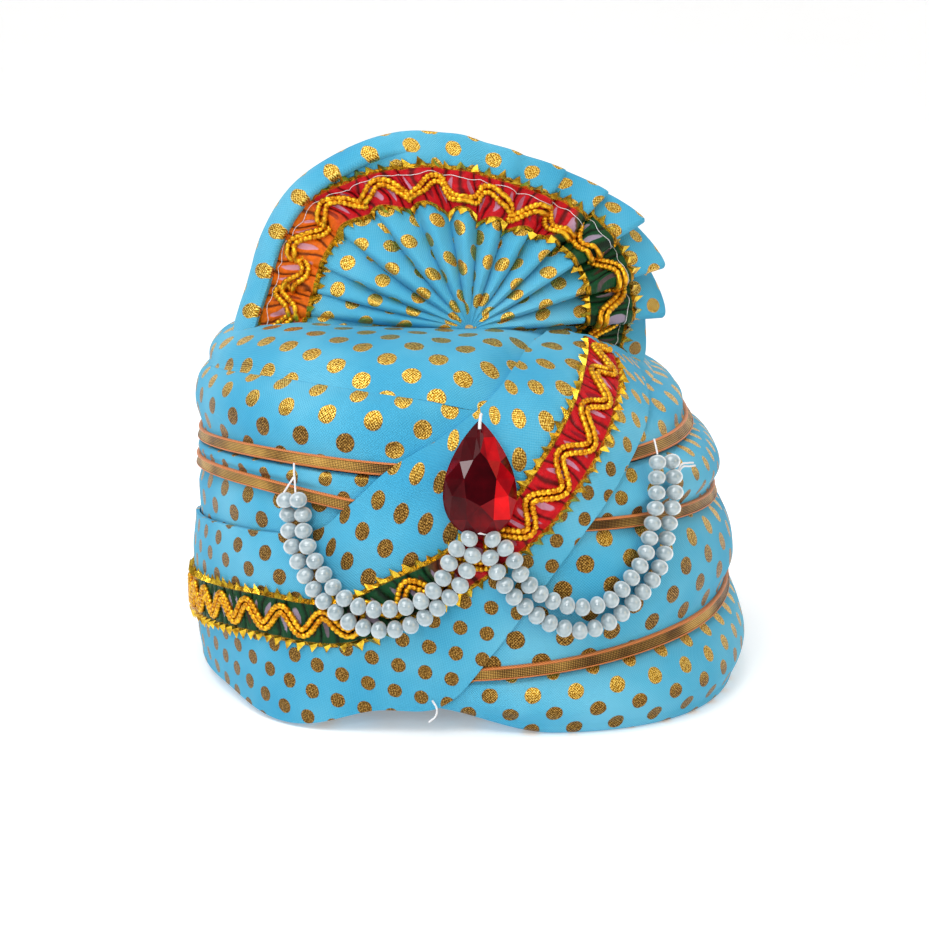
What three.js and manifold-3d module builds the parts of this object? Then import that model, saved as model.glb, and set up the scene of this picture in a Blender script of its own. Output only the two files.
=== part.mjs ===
// A tied turban of the pagri kind, sized for a small child, in millimetres, +Z up, with its front at -Y.
// Rolls of wound cloth and a crown make a hollow cap, open below. A broad sash crosses its front from the
// lower left to the upper right, and a pleated fan stands on the crown. Lace, gilt ribbons, a teardrop
// stone and four strands of pearls trim it.
import * as THREE from "three";
import Module from "manifold-3d";
import { mergeVertices } from "three/addons/utils/BufferGeometryUtils.js";
import { ConvexGeometry } from "three/addons/geometries/ConvexGeometry.js";

const wasm = await Module();
wasm.setup();

// The cap's axis stands here, so that the origin is under the middle of the whole
const AXIS = { x: -0.25, y: 4.44 };

// Places on the cap are given by angle, in degrees round the head from the front and positive towards +X,
// by girth, in mm up the cloth from the rim, and by lift, in mm outwards from the cap's core surface.

// Sections of the core surface from the rim to the apex, with its reach from the axis on four sides
const SECTIONS = [
  { girth: 0, height: 0, left: 80.5, front: 92, right: 83, back: 90 },
  { girth: 20, height: 20, left: 81, front: 92.5, right: 80.5, back: 91 },
  { girth: 46, height: 46, left: 81.5, front: 92.5, right: 76.5, back: 91 },
  { girth: 66, height: 65, left: 81.2, front: 91.5, right: 71.5, back: 88 },
  { girth: 80, height: 78, left: 79.5, front: 88, right: 64.5, back: 83 },
  { girth: 92, height: 88, left: 76.8, front: 80, right: 54.5, back: 75 },
  { girth: 104, height: 95.5, left: 71.5, front: 67, right: 44, back: 64 },
  { girth: 119, height: 101, left: 55, front: 50, right: 34.5, back: 48 },
  { girth: 139, height: 104, left: 30, front: 28, right: 21, back: 28 },
  { girth: 167, height: 105, left: 0, front: 0, right: 0, back: 0 },
];
const SQUARENESS = 2.4; // 2 gives an ellipse in plan, and more gives squarer corners
const LEVEL_GIRTH = 40; // below this the cloth's outward direction is level
const LEANING_GIRTH = 90; // above this it is square to the surface

// Where the cloth spreads at the rim: the middle of each lobe, half its width, its reach, and where it ends
const RIM_LOBES = [
  { angle: 33, half: 42, reach: 6.5, girth: 32 },
  { angle: -29, half: 22, reach: 4, girth: 22 },
];

// Where the rim lifts off the surface that it stands on: the middle of the arch, half its length and its rise
const RIM_ARCH = { angle: -9, half: 24, rise: 7 };

// Rolls of wound cloth from the rim up: the girth of each top edge round the head, and the swell on each side
const ROLLS = [
  {
    name: "bottom_roll",
    edge: { back: 20, left: 19, leftFront: 16, front: 15, rightFront: 21.5, right: 24.5 },
    swell: { left: 0.8, right: 3.6 },
    wall: 13,
  },
  {
    name: "lower_wrap",
    edge: { back: 54, left: 60, leftFront: 65, front: 58, rightFront: 54.5, right: 51 },
    swell: { left: 1.2, right: 3.4 },
    wall: 13,
  },
  {
    name: "middle_wrap",
    edge: { back: 70, left: 69, leftFront: 73.8, front: 72, rightFront: 74, right: 73.5 },
    swell: { left: 0.6, right: 4 },
    wall: 12,
  },
  {
    name: "upper_wrap",
    edge: { back: 93, left: 95, leftFront: 97, front: 90, rightFront: 92, right: 91 },
    swell: { left: 1.8, right: 2.4 },
    wall: 10,
  },
];
const EDGE_ANGLES = { back: -180, left: -90, leftFront: -40, front: 0, rightFront: 40, right: 90 };
const CROWN_WALL = 6;
const CROWN_PROUD = 0.8; // the crown's cloth overlaps the roll below it
const SEAM_GAP = 0.3;
const RIM_ROUND = 3; // how far the bottom roll's lower edge turns in
const HEM = 4.4; // plain strip along a roll's lower edge, where a ribbon is sewn
const ROLL_STEPS = 42;
const CROWN_SHARES = [0, 0.14, 0.36, 0.66]; // rows of the crown between its edge and its apex

// Sash: ribs across it, from its tail at the back, round the left and up to the right
const SASH_RIBS = [
  { lowAngle: -172, lowGirth: 1.5, highAngle: -172, highGirth: 6 },
  { lowAngle: -140, lowGirth: 1.5, highAngle: -140, highGirth: 26 },
  { lowAngle: -90, lowGirth: 2, highAngle: -90, highGirth: 43 },
  { lowAngle: -52, lowGirth: 2, highAngle: -52, highGirth: 53.5 },
  { lowAngle: -30, lowGirth: 1, highAngle: -28, highGirth: 56.5 },
  { lowAngle: -16, lowGirth: 6.5, highAngle: -20, highGirth: 64 },
  { lowAngle: -4, lowGirth: 8.5, highAngle: -13, highGirth: 75 },
  { lowAngle: 6, lowGirth: 27, highAngle: -3, highGirth: 85 },
  { lowAngle: 20, lowGirth: 57, highAngle: 5, highGirth: 95 },
  { lowAngle: 33, lowGirth: 77.5, highAngle: 12, highGirth: 106 },
  { lowAngle: 50, lowGirth: 90, highAngle: 20, highGirth: 116 },
  { lowAngle: 66, lowGirth: 97, highAngle: 33, highGirth: 123 },
];
const SASH_GAP = 0.5;
const SASH_THICK = 2;
const SASH_STEPS = 40;
const SASH_ROWS = 7;
const SWELL_STARTS = 8; // the rolls lie flat by the sash, and begin to swell this far from it
const SWELL_FULL = 20; // and have swelled to their full size here
const SASH_PRESS = 0.8; // under the sash they are pressed in by this much
const UNROLL_RADIUS = 88; // a mean radius that turns degrees round the head into mm

// Lace along the sash: the path of its middle
const SASH_LACE_PATH = [
  { angle: -128, girth: 12 },
  { angle: -90, girth: 19 },
  { angle: -60, girth: 26 },
  { angle: -38, girth: 29.8 },
  { angle: -21, girth: 30.8 },
  { angle: -11, girth: 39 },
  { angle: -2, girth: 46.8 },
  { angle: 9.2, girth: 61 },
  { angle: 16, girth: 74.4 },
  { angle: 22, girth: 84.6 },
  { angle: 29, girth: 94 },
  { angle: 40, girth: 103.5 },
];
const LACE_HALF = 7.2; // half the woven strip
const LACE_TOOTH = 1.2; // how far its gilt points stand past the strip
const LACE_THICK = 0.9;
const LACE_GAP = 0.35;
const LACE_STEPS = 60;

// Gilt ribbons in the hems of the rolls above the bottom one
const RIBBON_NAMES = ["lower_ribbon", "middle_ribbon", "upper_ribbon"];
const RIBBON_WIDTH = 3.6;
const RIBBON_THICK = 0.8;
const RIBBON_GAP = 0.5;
const RIBBON_END_GAP = 1;

// Fan: where it is gathered, how it leans, and a row for each pleat's ridge from left to right, with its
// depth where the lace crosses it and at the rim, and how far out the lace lies there, as a share of the reach
const FAN_GATHER = { angle: 1, girth: 130 };
const FAN_SEAT = 1.2; // the gather stands this far over the crown's core surface
const FAN_LEAN = 8;
const FAN_SWEEP = 30; // how far the fan's two ends go back round the crown
const FAN_THICK = 2.2;
const FAN_ROWS = [0.05, 0.28, 0.55, 0.685, 0.82, 1];
const FAN_LACE_ROWS = [0.55, 0.685, 0.82];
const FAN_LACE_GAP = 0.8;
const FAN_LACE_THICK = 1.5;
const FAN_VALLEY = 0.4; // a valley lies this share of the way to the next ridge
const FAN_NOTCH = 0.8; // the rim is this much shorter at a valley, for each mm of its depth
const FAN_FOLDS = [
  { angle: -92, reach: 69.5, depth: 1, rim: 0.6, laceOut: 0.06 },
  { angle: -79, reach: 66, depth: 1.6, rim: 0.6, laceOut: 0.07 },
  { angle: -66, reach: 65.2, depth: 2, rim: 0.6, laceOut: 0.08 },
  { angle: -52, reach: 66.2, depth: 2, rim: 0.6, laceOut: 0.08 },
  { angle: -38, reach: 64.5, depth: 2, rim: 0.6, laceOut: 0.05 },
  { angle: -24, reach: 62, depth: 2, rim: 0.6, laceOut: 0.02 },
  { angle: -9, reach: 57, depth: 2, rim: 0.6, laceOut: 0 },
  { angle: 6, reach: 53.5, depth: 2.2, rim: 0.8, laceOut: 0 },
  { angle: 20, reach: 52.4, depth: 2.6, rim: 1, laceOut: 0 },
  { angle: 33, reach: 54, depth: 3, rim: 1.6, laceOut: 0 },
  { angle: 45, reach: 57, depth: 3.4, rim: 2.6, laceOut: 0 },
  { angle: 58, reach: 61, depth: 3.8, rim: 3.6, laceOut: 0 },
  { angle: 72, reach: 61.5, depth: 3.8, rim: 3.8, laceOut: 0 },
  { angle: 86, reach: 59, depth: 3.6, rim: 3.6, laceOut: 0 },
  { angle: 102, reach: 53, depth: 2.6, rim: 2.6, laceOut: 0 },
];

// Teardrop stone sewn on the sash
const STONE = { angle: 2, girth: 72.8, width: 19.6, length: 31, height: 6.5, girdle: 1.4 };
const STONE_LIFT = 4.6;
const STONE_SIDES = 16;
const STONE_TABLE = 0.46; // size of the flat table against the outline
const STONE_STAR = 0.76; // size of the ring of facets between them
const STONE_STAR_HEIGHT = 0.72;
const STONE_TAPER = 0.8; // how sharp its upper end is

// Pearl strands: the route of each on the cap, from below the stone to its outer end
const PEARL = 4.2;
const PEARL_PITCH = 4.5;
const PEARL_SIDES = 10;
const PEARL_GAP = 0.35;
const THREAD_RADIUS = 0.7;
const STRANDS = {
  pearl_strand_left_upper: [
    { angle: 0.2, girth: 56.8 },
    { angle: -2, girth: 53.4 },
    { angle: -4.2, girth: 45.2 },
    { angle: -7.4, girth: 39.4 },
    { angle: -11.8, girth: 37 },
    { angle: -16.8, girth: 37 },
    { angle: -21, girth: 41.4 },
    { angle: -24.2, girth: 48.2 },
    { angle: -26.4, girth: 56.2 },
    { angle: -27.4, girth: 65 },
  ],
  pearl_strand_left_lower: [
    { angle: 0.8, girth: 52 },
    { angle: -1.2, girth: 44 },
    { angle: -4.5, girth: 38 },
    { angle: -8.6, girth: 33 },
    { angle: -13.2, girth: 31 },
    { angle: -18, girth: 32.2 },
    { angle: -22.2, girth: 37 },
    { angle: -25.8, girth: 43.2 },
    { angle: -28.6, girth: 51.2 },
    { angle: -30.2, girth: 59.4 },
    { angle: -30.6, girth: 64.8 },
  ],
  pearl_strand_right_upper: [
    { angle: 4.2, girth: 56.5 },
    { angle: 6.6, girth: 53 },
    { angle: 8.8, girth: 45.5 },
    { angle: 12.6, girth: 39.4 },
    { angle: 17.5, girth: 36.4 },
    { angle: 22.4, girth: 37.4 },
    { angle: 26, girth: 42 },
    { angle: 29.6, girth: 48.6 },
    { angle: 31.8, girth: 56.4 },
    { angle: 32.8, girth: 64.2 },
    { angle: 33.6, girth: 71.8 },
  ],
  pearl_strand_right_lower: [
    { angle: 3.6, girth: 51.4 },
    { angle: 6.2, girth: 43 },
    { angle: 9.8, girth: 36.4 },
    { angle: 14, girth: 31.6 },
    { angle: 18.8, girth: 29.8 },
    { angle: 23.4, girth: 32.2 },
    { angle: 27.8, girth: 37.4 },
    { angle: 31.8, girth: 43.6 },
    { angle: 34.4, girth: 50.5 },
    { angle: 35.8, girth: 58.5 },
    { angle: 36.9, girth: 66 },
    { angle: 37.2, girth: 71.2 },
  ],
};

const MATERIALS = {
  cloth: { color: 0x58b4e2, roughness: 0.75, metalness: 0 },
  lace: { color: 0xb01c2c, roughness: 0.55, metalness: 0.1 },
  ribbon: { color: 0xa8742c, roughness: 0.4, metalness: 0.6 },
  stone: { color: 0xa00418, roughness: 0.05, metalness: 0.1 },
  pearl: { color: 0xf1eef2, roughness: 0.25, metalness: 0 },
};

const DEG = Math.PI / 180;

// The value of one column of a table at a place between its rows, on a smooth curve through them
function columnAt(rows, key, column, at) {
  const slope = (i, j) => (rows[j][column] - rows[i][column]) / (rows[j][key] - rows[i][key]);
  const last = rows.length - 1;
  let i = 0;
  while (i < last - 1 && at > rows[i + 1][key]) i += 1;
  const span = rows[i + 1][key] - rows[i][key];
  const t = (at - rows[i][key]) / span;
  const start = i > 0 ? slope(i - 1, i + 1) : slope(0, 1);
  const end = i + 2 <= last ? slope(i, i + 2) : slope(last - 1, last);
  const t2 = t * t;
  const t3 = t2 * t;
  return (
    (2 * t3 - 3 * t2 + 1) * rows[i][column] +
    (t3 - 2 * t2 + t) * span * start +
    (3 * t2 - 2 * t3) * rows[i + 1][column] +
    (t3 - t2) * span * end
  );
}

// The same for a table whose rows are evenly spaced, with share from 0 at its first row to 1 at its last
function alongTable(rows, column, share) {
  const numbered = rows.map((row, index) => ({ index, value: row[column] }));
  return columnAt(numbered, "index", "value", share * (rows.length - 1));
}

function smoothStep(low, high, x) {
  const t = THREE.MathUtils.clamp((x - low) / (high - low), 0, 1);
  return t * t * (3 - 2 * t);
}

// A smooth hump of height 1 round an angle, and 0 from half its width away
function hump(angle, middle, half) {
  const away = Math.min(Math.abs(angle - middle) / half, 1);
  return (1 + Math.cos(Math.PI * away)) / 2;
}

// The girth of a roll's top edge at an angle round the head, on a smooth closed curve
function edgeGirth(roll, angle) {
  const once = Object.entries(EDGE_ANGLES).map(([side, at]) => ({ at, girth: roll.edge[side] }));
  const turned = (turns) => once.map(({ at, girth }) => ({ at: at + 360 * turns, girth }));
  const within = THREE.MathUtils.euclideanModulo(angle + 180, 360) - 180;
  return columnAt([...turned(-1), ...once, ...turned(1)], "at", "girth", within);
}

// A point on the core surface: a superellipse in plan at each girth
function core(angle, girth) {
  const c = Math.cos(angle * DEG);
  const s = Math.sin(angle * DEG);
  const across = Math.max(columnAt(SECTIONS, "girth", s < 0 ? "left" : "right", girth), 1e-4);
  const along = Math.max(columnAt(SECTIONS, "girth", c > 0 ? "front" : "back", girth), 1e-4);
  const power = SQUARENESS;
  const plain = (Math.abs(s / across) ** power + Math.abs(c / along) ** power) ** (-1 / power);
  const reach = RIM_LOBES.reduce((sum, lobe) => {
    return sum + lobe.reach * hump(angle, lobe.angle, lobe.half) * smoothStep(lobe.girth, 0, girth);
  }, plain);
  return new THREE.Vector3(reach * s, -reach * c, columnAt(SECTIONS, "girth", "height", girth));
}

// The outward direction there, which is level near the rim
function outwards(angle, girth) {
  const round = core(angle + 0.1, girth).sub(core(angle - 0.1, girth));
  const up = core(angle, girth + 0.1).sub(core(angle, girth - 0.1));
  const normal = round.cross(up).normalize();
  normal.z *= smoothStep(LEVEL_GIRTH, LEANING_GIRTH, girth);
  return normal.normalize();
}

function onCap(angle, girth, lift) {
  return core(angle, girth).addScaledVector(outwards(angle, girth), lift);
}

function rimRise(angle) {
  return RIM_ARCH.rise * hump(angle, RIM_ARCH.angle, RIM_ARCH.half);
}

// A closed mesh from points and triangles, turned so that its faces point out
function closedMesh(name, look, points, triangles) {
  let volume = 0;
  for (const [a, b, c] of triangles) {
    volume += points[a].dot(new THREE.Vector3().crossVectors(points[b], points[c]));
  }
  const facing = volume < 0 ? triangles.map(([a, b, c]) => [a, c, b]) : triangles;
  const geometry = new THREE.BufferGeometry().setFromPoints(points);
  geometry.setIndex(facing.flat());
  return namedMesh(name, look, geometry);
}

function namedMesh(name, look, geometry) {
  const mesh = new THREE.Mesh(geometry, new THREE.MeshStandardMaterial(MATERIALS[look]));
  mesh.name = name;
  return mesh;
}

function addQuad(triangles, a, b, c, d) {
  triangles.push([a, b, c], [a, c, d]);
}

// A ring: one closed profile at each step round the head
function ringMesh(name, look, steps, profileAt) {
  const points = [];
  const triangles = [];
  let count = 0;
  for (let i = 0; i < steps; i += 1) {
    const profile = profileAt(-180 + (360 * i) / steps);
    count = profile.length;
    points.push(...profile);
  }
  for (let i = 0; i < steps; i += 1) {
    const next = (i + 1) % steps;
    for (let j = 0; j < count; j += 1) {
      const over = (j + 1) % count;
      addQuad(triangles, i * count + j, next * count + j, next * count + over, i * count + over);
    }
  }
  return closedMesh(name, look, points, triangles);
}

// A strip of cloth: an outer and an inner face on one grid, closed along its four edges.
// pointAt takes shares along and across, and the side, 1 for the outer face and 0 for the inner one.
function stripMesh(name, look, alongShares, acrossShares, pointAt) {
  const rows = acrossShares.length;
  const columns = alongShares.length;
  const points = [];
  for (const side of [1, 0]) {
    alongShares.forEach((u, i) => acrossShares.forEach((v, j) => points.push(pointAt(u, v, side, i, j))));
  }
  const outer = (i, j) => i * rows + j;
  const inner = (i, j) => columns * rows + i * rows + j;
  const triangles = [];
  for (let i = 0; i + 1 < columns; i += 1) {
    for (let j = 0; j + 1 < rows; j += 1) {
      addQuad(triangles, outer(i, j), outer(i + 1, j), outer(i + 1, j + 1), outer(i, j + 1));
      addQuad(triangles, inner(i, j), inner(i, j + 1), inner(i + 1, j + 1), inner(i + 1, j));
    }
    addQuad(triangles, inner(i, 0), inner(i + 1, 0), outer(i + 1, 0), outer(i, 0));
    const top = rows - 1;
    addQuad(triangles, outer(i, top), outer(i + 1, top), inner(i + 1, top), inner(i, top));
  }
  for (let j = 0; j + 1 < rows; j += 1) {
    addQuad(triangles, outer(0, j), outer(0, j + 1), inner(0, j + 1), inner(0, j));
    const end = columns - 1;
    addQuad(triangles, outer(end, j), inner(end, j), inner(end, j + 1), outer(end, j + 1));
  }
  return closedMesh(name, look, points, triangles);
}

function evenShares(steps) {
  return Array.from({ length: steps + 1 }, (_, i) => i / steps);
}

// A mesh as a solid for joining and cutting, and back
function solidOf(mesh) {
  const bare = new THREE.BufferGeometry();
  bare.setAttribute("position", mesh.geometry.getAttribute("position"));
  bare.setIndex(mesh.geometry.index);
  const merged = mergeVertices(bare, 1e-4);
  return new wasm.Manifold(
    new wasm.Mesh({
      numProp: 3,
      vertProperties: new Float32Array(merged.attributes.position.array),
      triVerts: new Uint32Array(merged.index.array),
    }),
  );
}

function meshOf(name, look, solid) {
  const { vertProperties, triVerts } = solid.getMesh();
  const geometry = new THREE.BufferGeometry();
  geometry.setAttribute("position", new THREE.BufferAttribute(vertProperties, 3));
  geometry.setIndex(new THREE.BufferAttribute(triVerts, 1));
  return namedMesh(name, look, geometry);
}

// Sash: its two edges, and how far a place on the cap lies outside it
function sashEdge(share, edge) {
  return {
    angle: alongTable(SASH_RIBS, `${edge}Angle`, share),
    girth: alongTable(SASH_RIBS, `${edge}Girth`, share),
  };
}

function unrolled({ angle, girth }) {
  return new THREE.Vector2(angle * DEG * UNROLL_RADIUS, girth);
}

const SASH_OUTLINE = [
  ...evenShares(SASH_STEPS).map((share) => unrolled(sashEdge(share, "low"))),
  ...evenShares(SASH_STEPS).map((share) => unrolled(sashEdge(1 - share, "high"))),
];

function distanceFromSash(angle, girth) {
  const place = unrolled({ angle, girth });
  let nearest = Infinity;
  let inside = false;
  SASH_OUTLINE.forEach((a, i) => {
    const b = SASH_OUTLINE[(i + 1) % SASH_OUTLINE.length];
    const edge = b.clone().sub(a);
    const t = THREE.MathUtils.clamp(place.clone().sub(a).dot(edge) / Math.max(edge.lengthSq(), 1e-9), 0, 1);
    nearest = Math.min(nearest, place.distanceTo(a.clone().addScaledVector(edge, t)));
    const crosses = a.y > place.y !== b.y > place.y;
    if (crosses && place.x < a.x + ((place.y - a.y) / (b.y - a.y)) * (b.x - a.x)) inside = !inside;
  });
  return inside ? -nearest : nearest;
}

// 0 by the sash and under it, rising to 1 where the cloth is free to swell
function clearOfSash(angle, girth) {
  return smoothStep(SWELL_STARTS, SWELL_FULL, distanceFromSash(angle, girth));
}

function sash() {
  return stripMesh("sash", "cloth", evenShares(SASH_STEPS), evenShares(SASH_ROWS), (u, v, side) => {
    const low = sashEdge(u, "low");
    const high = sashEdge(u, "high");
    const angle = THREE.MathUtils.lerp(low.angle, high.angle, v);
    const girth = THREE.MathUtils.lerp(low.girth, high.girth, v);
    return onCap(angle, girth, SASH_GAP + side * SASH_THICK);
  });
}

function sashLace() {
  const path = SASH_LACE_PATH.map(({ angle, girth }) => unrolled({ angle, girth }));
  const curve = new THREE.SplineCurve(path);
  const bottom = SASH_GAP + SASH_THICK + LACE_GAP;
  const shares = evenShares(LACE_STEPS);
  return stripMesh("sash_lace", "lace", shares, [-1, 0, 1], (u, v, side, i) => {
    const middle = curve.getPointAt(u);
    const along = curve.getTangentAt(u);
    const half = LACE_HALF + (i % 2) * LACE_TOOTH;
    const x = middle.x - along.y * v * half;
    const girth = middle.y + along.x * v * half;
    return onCap(x / UNROLL_RADIUS / DEG, girth, bottom + side * LACE_THICK);
  });
}

// Rolls: a lower edge, a swelling face that dies away by the sash, and a top edge tucked under the next hem
function rollEdges(index, angle) {
  const low = index === 0 ? rimRise(angle) : edgeGirth(ROLLS[index - 1], angle) + SEAM_GAP / 2;
  return { low, high: edgeGirth(ROLLS[index], angle) - SEAM_GAP / 2 };
}

// The lift of a roll's face: its swell where the cloth is free, times the given share, and pressed in
// under the sash
function faceLift(roll, angle, girth, share) {
  const right = smoothStep(-60, 60, angle) * smoothStep(220, 150, Math.abs(angle));
  const full = THREE.MathUtils.lerp(roll.swell.left, roll.swell.right, right);
  return THREE.MathUtils.lerp(-SASH_PRESS, share * full, clearOfSash(angle, girth));
}

function rollProfile(index, angle) {
  const roll = ROLLS[index];
  const { low, high } = rollEdges(index, angle);
  const hem = index === 0 ? RIM_ROUND : Math.min(HEM, 0.55 * (high - low));
  const face = high - low - hem;
  const swelling = (girth, share) => ({ girth, lift: faceLift(roll, angle, girth, share) });
  const rows = [
    { girth: low, lift: index === 0 ? -RIM_ROUND : -SEAM_GAP },
    swelling(low + hem, 0),
    swelling(low + hem + 0.3 * face, 1),
    swelling(low + hem + 0.68 * face, 0.85),
    { girth: high, lift: -SASH_PRESS },
    { girth: high, lift: -roll.wall },
    { girth: low, lift: -roll.wall },
  ];
  return rows.map(({ girth, lift }) => onCap(angle, girth, lift));
}

// Crown: a dome of cloth over the top roll, closed at the apex
function crown() {
  const top = SECTIONS.at(-1);
  const half = CROWN_SHARES.length;
  const points = [];
  for (let i = 0; i < ROLL_STEPS; i += 1) {
    const angle = -180 + (360 * i) / ROLL_STEPS;
    const low = edgeGirth(ROLLS.at(-1), angle) + SEAM_GAP;
    const girths = CROWN_SHARES.map((share) => THREE.MathUtils.lerp(low, top.girth, share));
    points.push(...girths.map((girth) => onCap(angle, girth, CROWN_PROUD * clearOfSash(angle, girth))));
    points.push(...girths.map((girth) => onCap(angle, girth, -CROWN_WALL)));
  }
  const outerApex = points.push(new THREE.Vector3(0, 0, top.height + CROWN_PROUD)) - 1;
  const innerApex = points.push(new THREE.Vector3(0, 0, top.height - CROWN_WALL)) - 1;
  const triangles = [];
  for (let i = 0; i < ROLL_STEPS; i += 1) {
    const a = i * 2 * half;
    const b = ((i + 1) % ROLL_STEPS) * 2 * half;
    for (let j = 0; j + 1 < half; j += 1) {
      addQuad(triangles, a + j, b + j, b + j + 1, a + j + 1);
      addQuad(triangles, a + half + j, a + half + j + 1, b + half + j + 1, b + half + j);
    }
    triangles.push([a + half - 1, b + half - 1, outerApex]);
    triangles.push([b + 2 * half - 1, a + 2 * half - 1, innerApex]);
    addQuad(triangles, b, a, a + half, b + half);
  }
  return closedMesh("crown", "cloth", points, triangles);
}

// Ribbon: a strip in the hem of a roll, from the sash round the right and the back to the sash again
function ribbon(index) {
  const roll = ROLLS[index];
  const angleAtSash = (from, to, across) => {
    let outside = from;
    let inside = to;
    for (let step = 0; step < 30; step += 1) {
      const middle = (outside + inside) / 2;
      const girth = edgeGirth(roll, middle) + across;
      const wrapped = middle > 180 ? middle - 360 : middle;
      if (distanceFromSash(wrapped, girth) > RIBBON_END_GAP) outside = middle;
      else inside = middle;
    }
    return outside;
  };
  const edges = [SEAM_GAP, SEAM_GAP + RIBBON_WIDTH];
  const ends = edges.map((across) => [angleAtSash(90, -10, across), angleAtSash(180, 355, across)]);
  const step = 360 / ROLL_STEPS;
  const first = Math.ceil(Math.max(ends[0][0], ends[1][0]) / step);
  const last = Math.floor(Math.min(ends[0][1], ends[1][1]) / step);
  const count = last - first + 1;
  return stripMesh(RIBBON_NAMES[index], "ribbon", evenShares(count + 1), [0, 1], (u, v, side, i) => {
    const between = (first + i - 1) * step;
    const angle = i === 0 ? ends[v][0] : i > count ? ends[v][1] : between;
    const girth = edgeGirth(roll, angle) + edges[v];
    return onCap(angle, girth, RIBBON_GAP + side * RIBBON_THICK);
  });
}

// Fan: columns at each ridge and valley, from left to right. A valley lies close behind the ridge that
// hides it, on the side away from the top of the fan.
function fanColumns() {
  const columns = [];
  FAN_FOLDS.forEach((fold, i) => {
    columns.push(fold);
    const next = FAN_FOLDS[i + 1];
    if (!next) return;
    const share = next.angle + fold.angle > 0 ? FAN_VALLEY : 1 - FAN_VALLEY;
    const rim = (fold.rim + next.rim) / 2;
    columns.push({
      angle: THREE.MathUtils.lerp(fold.angle, next.angle, share),
      reach: (fold.reach + next.reach) / 2 - FAN_NOTCH * rim,
      depth: -(fold.depth + next.depth) / 2,
      rim: -rim,
      laceOut: (fold.laceOut + next.laceOut) / 2,
    });
  });
  return columns;
}

function fanPoint(column, place, forward) {
  const lean = FAN_LEAN * DEG;
  const row = place + column.laceOut * Math.sin(Math.PI * place);
  const sideways = Math.sin(column.angle * DEG) * column.reach * row;
  const upwards = Math.cos(column.angle * DEG) * column.reach * row;
  const back = FAN_SWEEP * (row * Math.sin(column.angle * DEG)) ** 2;
  const depth = THREE.MathUtils.lerp(column.depth, column.rim, smoothStep(FAN_LACE_ROWS.at(-1), 1, place));
  const out = depth * (0.35 + 0.65 * row) - back + forward;
  const gather = onCap(FAN_GATHER.angle, FAN_GATHER.girth, FAN_SEAT);
  return new THREE.Vector3(
    gather.x + sideways,
    gather.y + upwards * Math.sin(lean) - out * Math.cos(lean),
    gather.z + upwards * Math.cos(lean) + out * Math.sin(lean),
  );
}

function fanStrip(name, look, rows, from, thick) {
  const columns = fanColumns();
  const shares = columns.map((_, i) => i / (columns.length - 1));
  return stripMesh(name, look, shares, rows, (u, v, side, i) => fanPoint(columns[i], v, from + side * thick));
}

// What the fan has to keep clear of: the cap with its sash and lace, as one solid
function capClearance() {
  const lift = (angle, girth) => {
    const onSash = distanceFromSash(angle, girth) < 2;
    return SEAM_GAP + (onSash ? SASH_GAP + SASH_THICK + LACE_GAP + LACE_THICK : CROWN_PROUD);
  };
  const girths = [60, 72, 84, 94, 104, 114, 124, 136, 150, 164];
  const ring = (angle) => [
    new THREE.Vector3(0, 0, core(0, girths[0]).z),
    ...girths.map((girth) => onCap(angle, girth, lift(angle, girth))),
    new THREE.Vector3(0, 0, SECTIONS.at(-1).height + CROWN_PROUD + SEAM_GAP),
  ];
  return solidOf(ringMesh("clearance", "cloth", 2 * ROLL_STEPS, ring));
}

function trimmed(mesh, look, clearance) {
  const parts = solidOf(mesh).subtract(clearance).decompose();
  parts.sort((a, b) => b.volume() - a.volume());
  return meshOf(mesh.name, look, parts[0]);
}

// Stone: a faceted teardrop with a flat back, standing off the sash on the lace
function stone() {
  const outline = (turn, size, height) => {
    const taper = Math.sin(turn / 2) ** STONE_TAPER;
    const widest = 0.77; // the largest value of sine times taper, so that the outline has its stated width
    return new THREE.Vector3(
      ((STONE.width / 2) * size * Math.sin(turn) * taper) / widest,
      (STONE.length / 2) * size * Math.cos(turn),
      height,
    );
  };
  const points = [];
  for (let i = 0; i < STONE_SIDES; i += 1) {
    const turn = (2 * Math.PI * i) / STONE_SIDES;
    points.push(outline(turn, 0.96, 0), outline(turn, 1, STONE.girdle));
    if (i % 2) points.push(outline(turn, STONE_STAR, STONE_STAR_HEIGHT * STONE.height));
    else points.push(outline(turn, STONE_TABLE, STONE.height));
  }
  const mesh = namedMesh("stone", "stone", new ConvexGeometry(points));
  const normal = outwards(STONE.angle, STONE.girth);
  const across = new THREE.Vector3(0, 0, 1).cross(normal).normalize();
  const up = normal.clone().cross(across);
  mesh.quaternion.setFromRotationMatrix(new THREE.Matrix4().makeBasis(across, up, normal));
  mesh.position.copy(onCap(STONE.angle, STONE.girth, STONE_LIFT));
  return mesh;
}

// Pearls: a string of round beads fused on their thread, resting on whatever lies under them
function restingLift(angle, girth, under) {
  const caster = new THREE.Raycaster();
  const reach = PEARL / 2 / UNROLL_RADIUS / DEG;
  const lifts = [
    [0, 0],
    [reach, 0],
    [-reach, 0],
    [0, PEARL / 2],
    [0, -PEARL / 2],
  ].map(([turn, rise]) => {
    const from = onCap(angle + turn, girth + rise, 30);
    caster.set(from, outwards(angle + turn, girth + rise).negate());
    const hit = caster.intersectObjects(under)[0];
    return hit ? 30 - hit.distance : 0;
  });
  return Math.max(...lifts) + PEARL_GAP + PEARL / 2;
}

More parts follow.
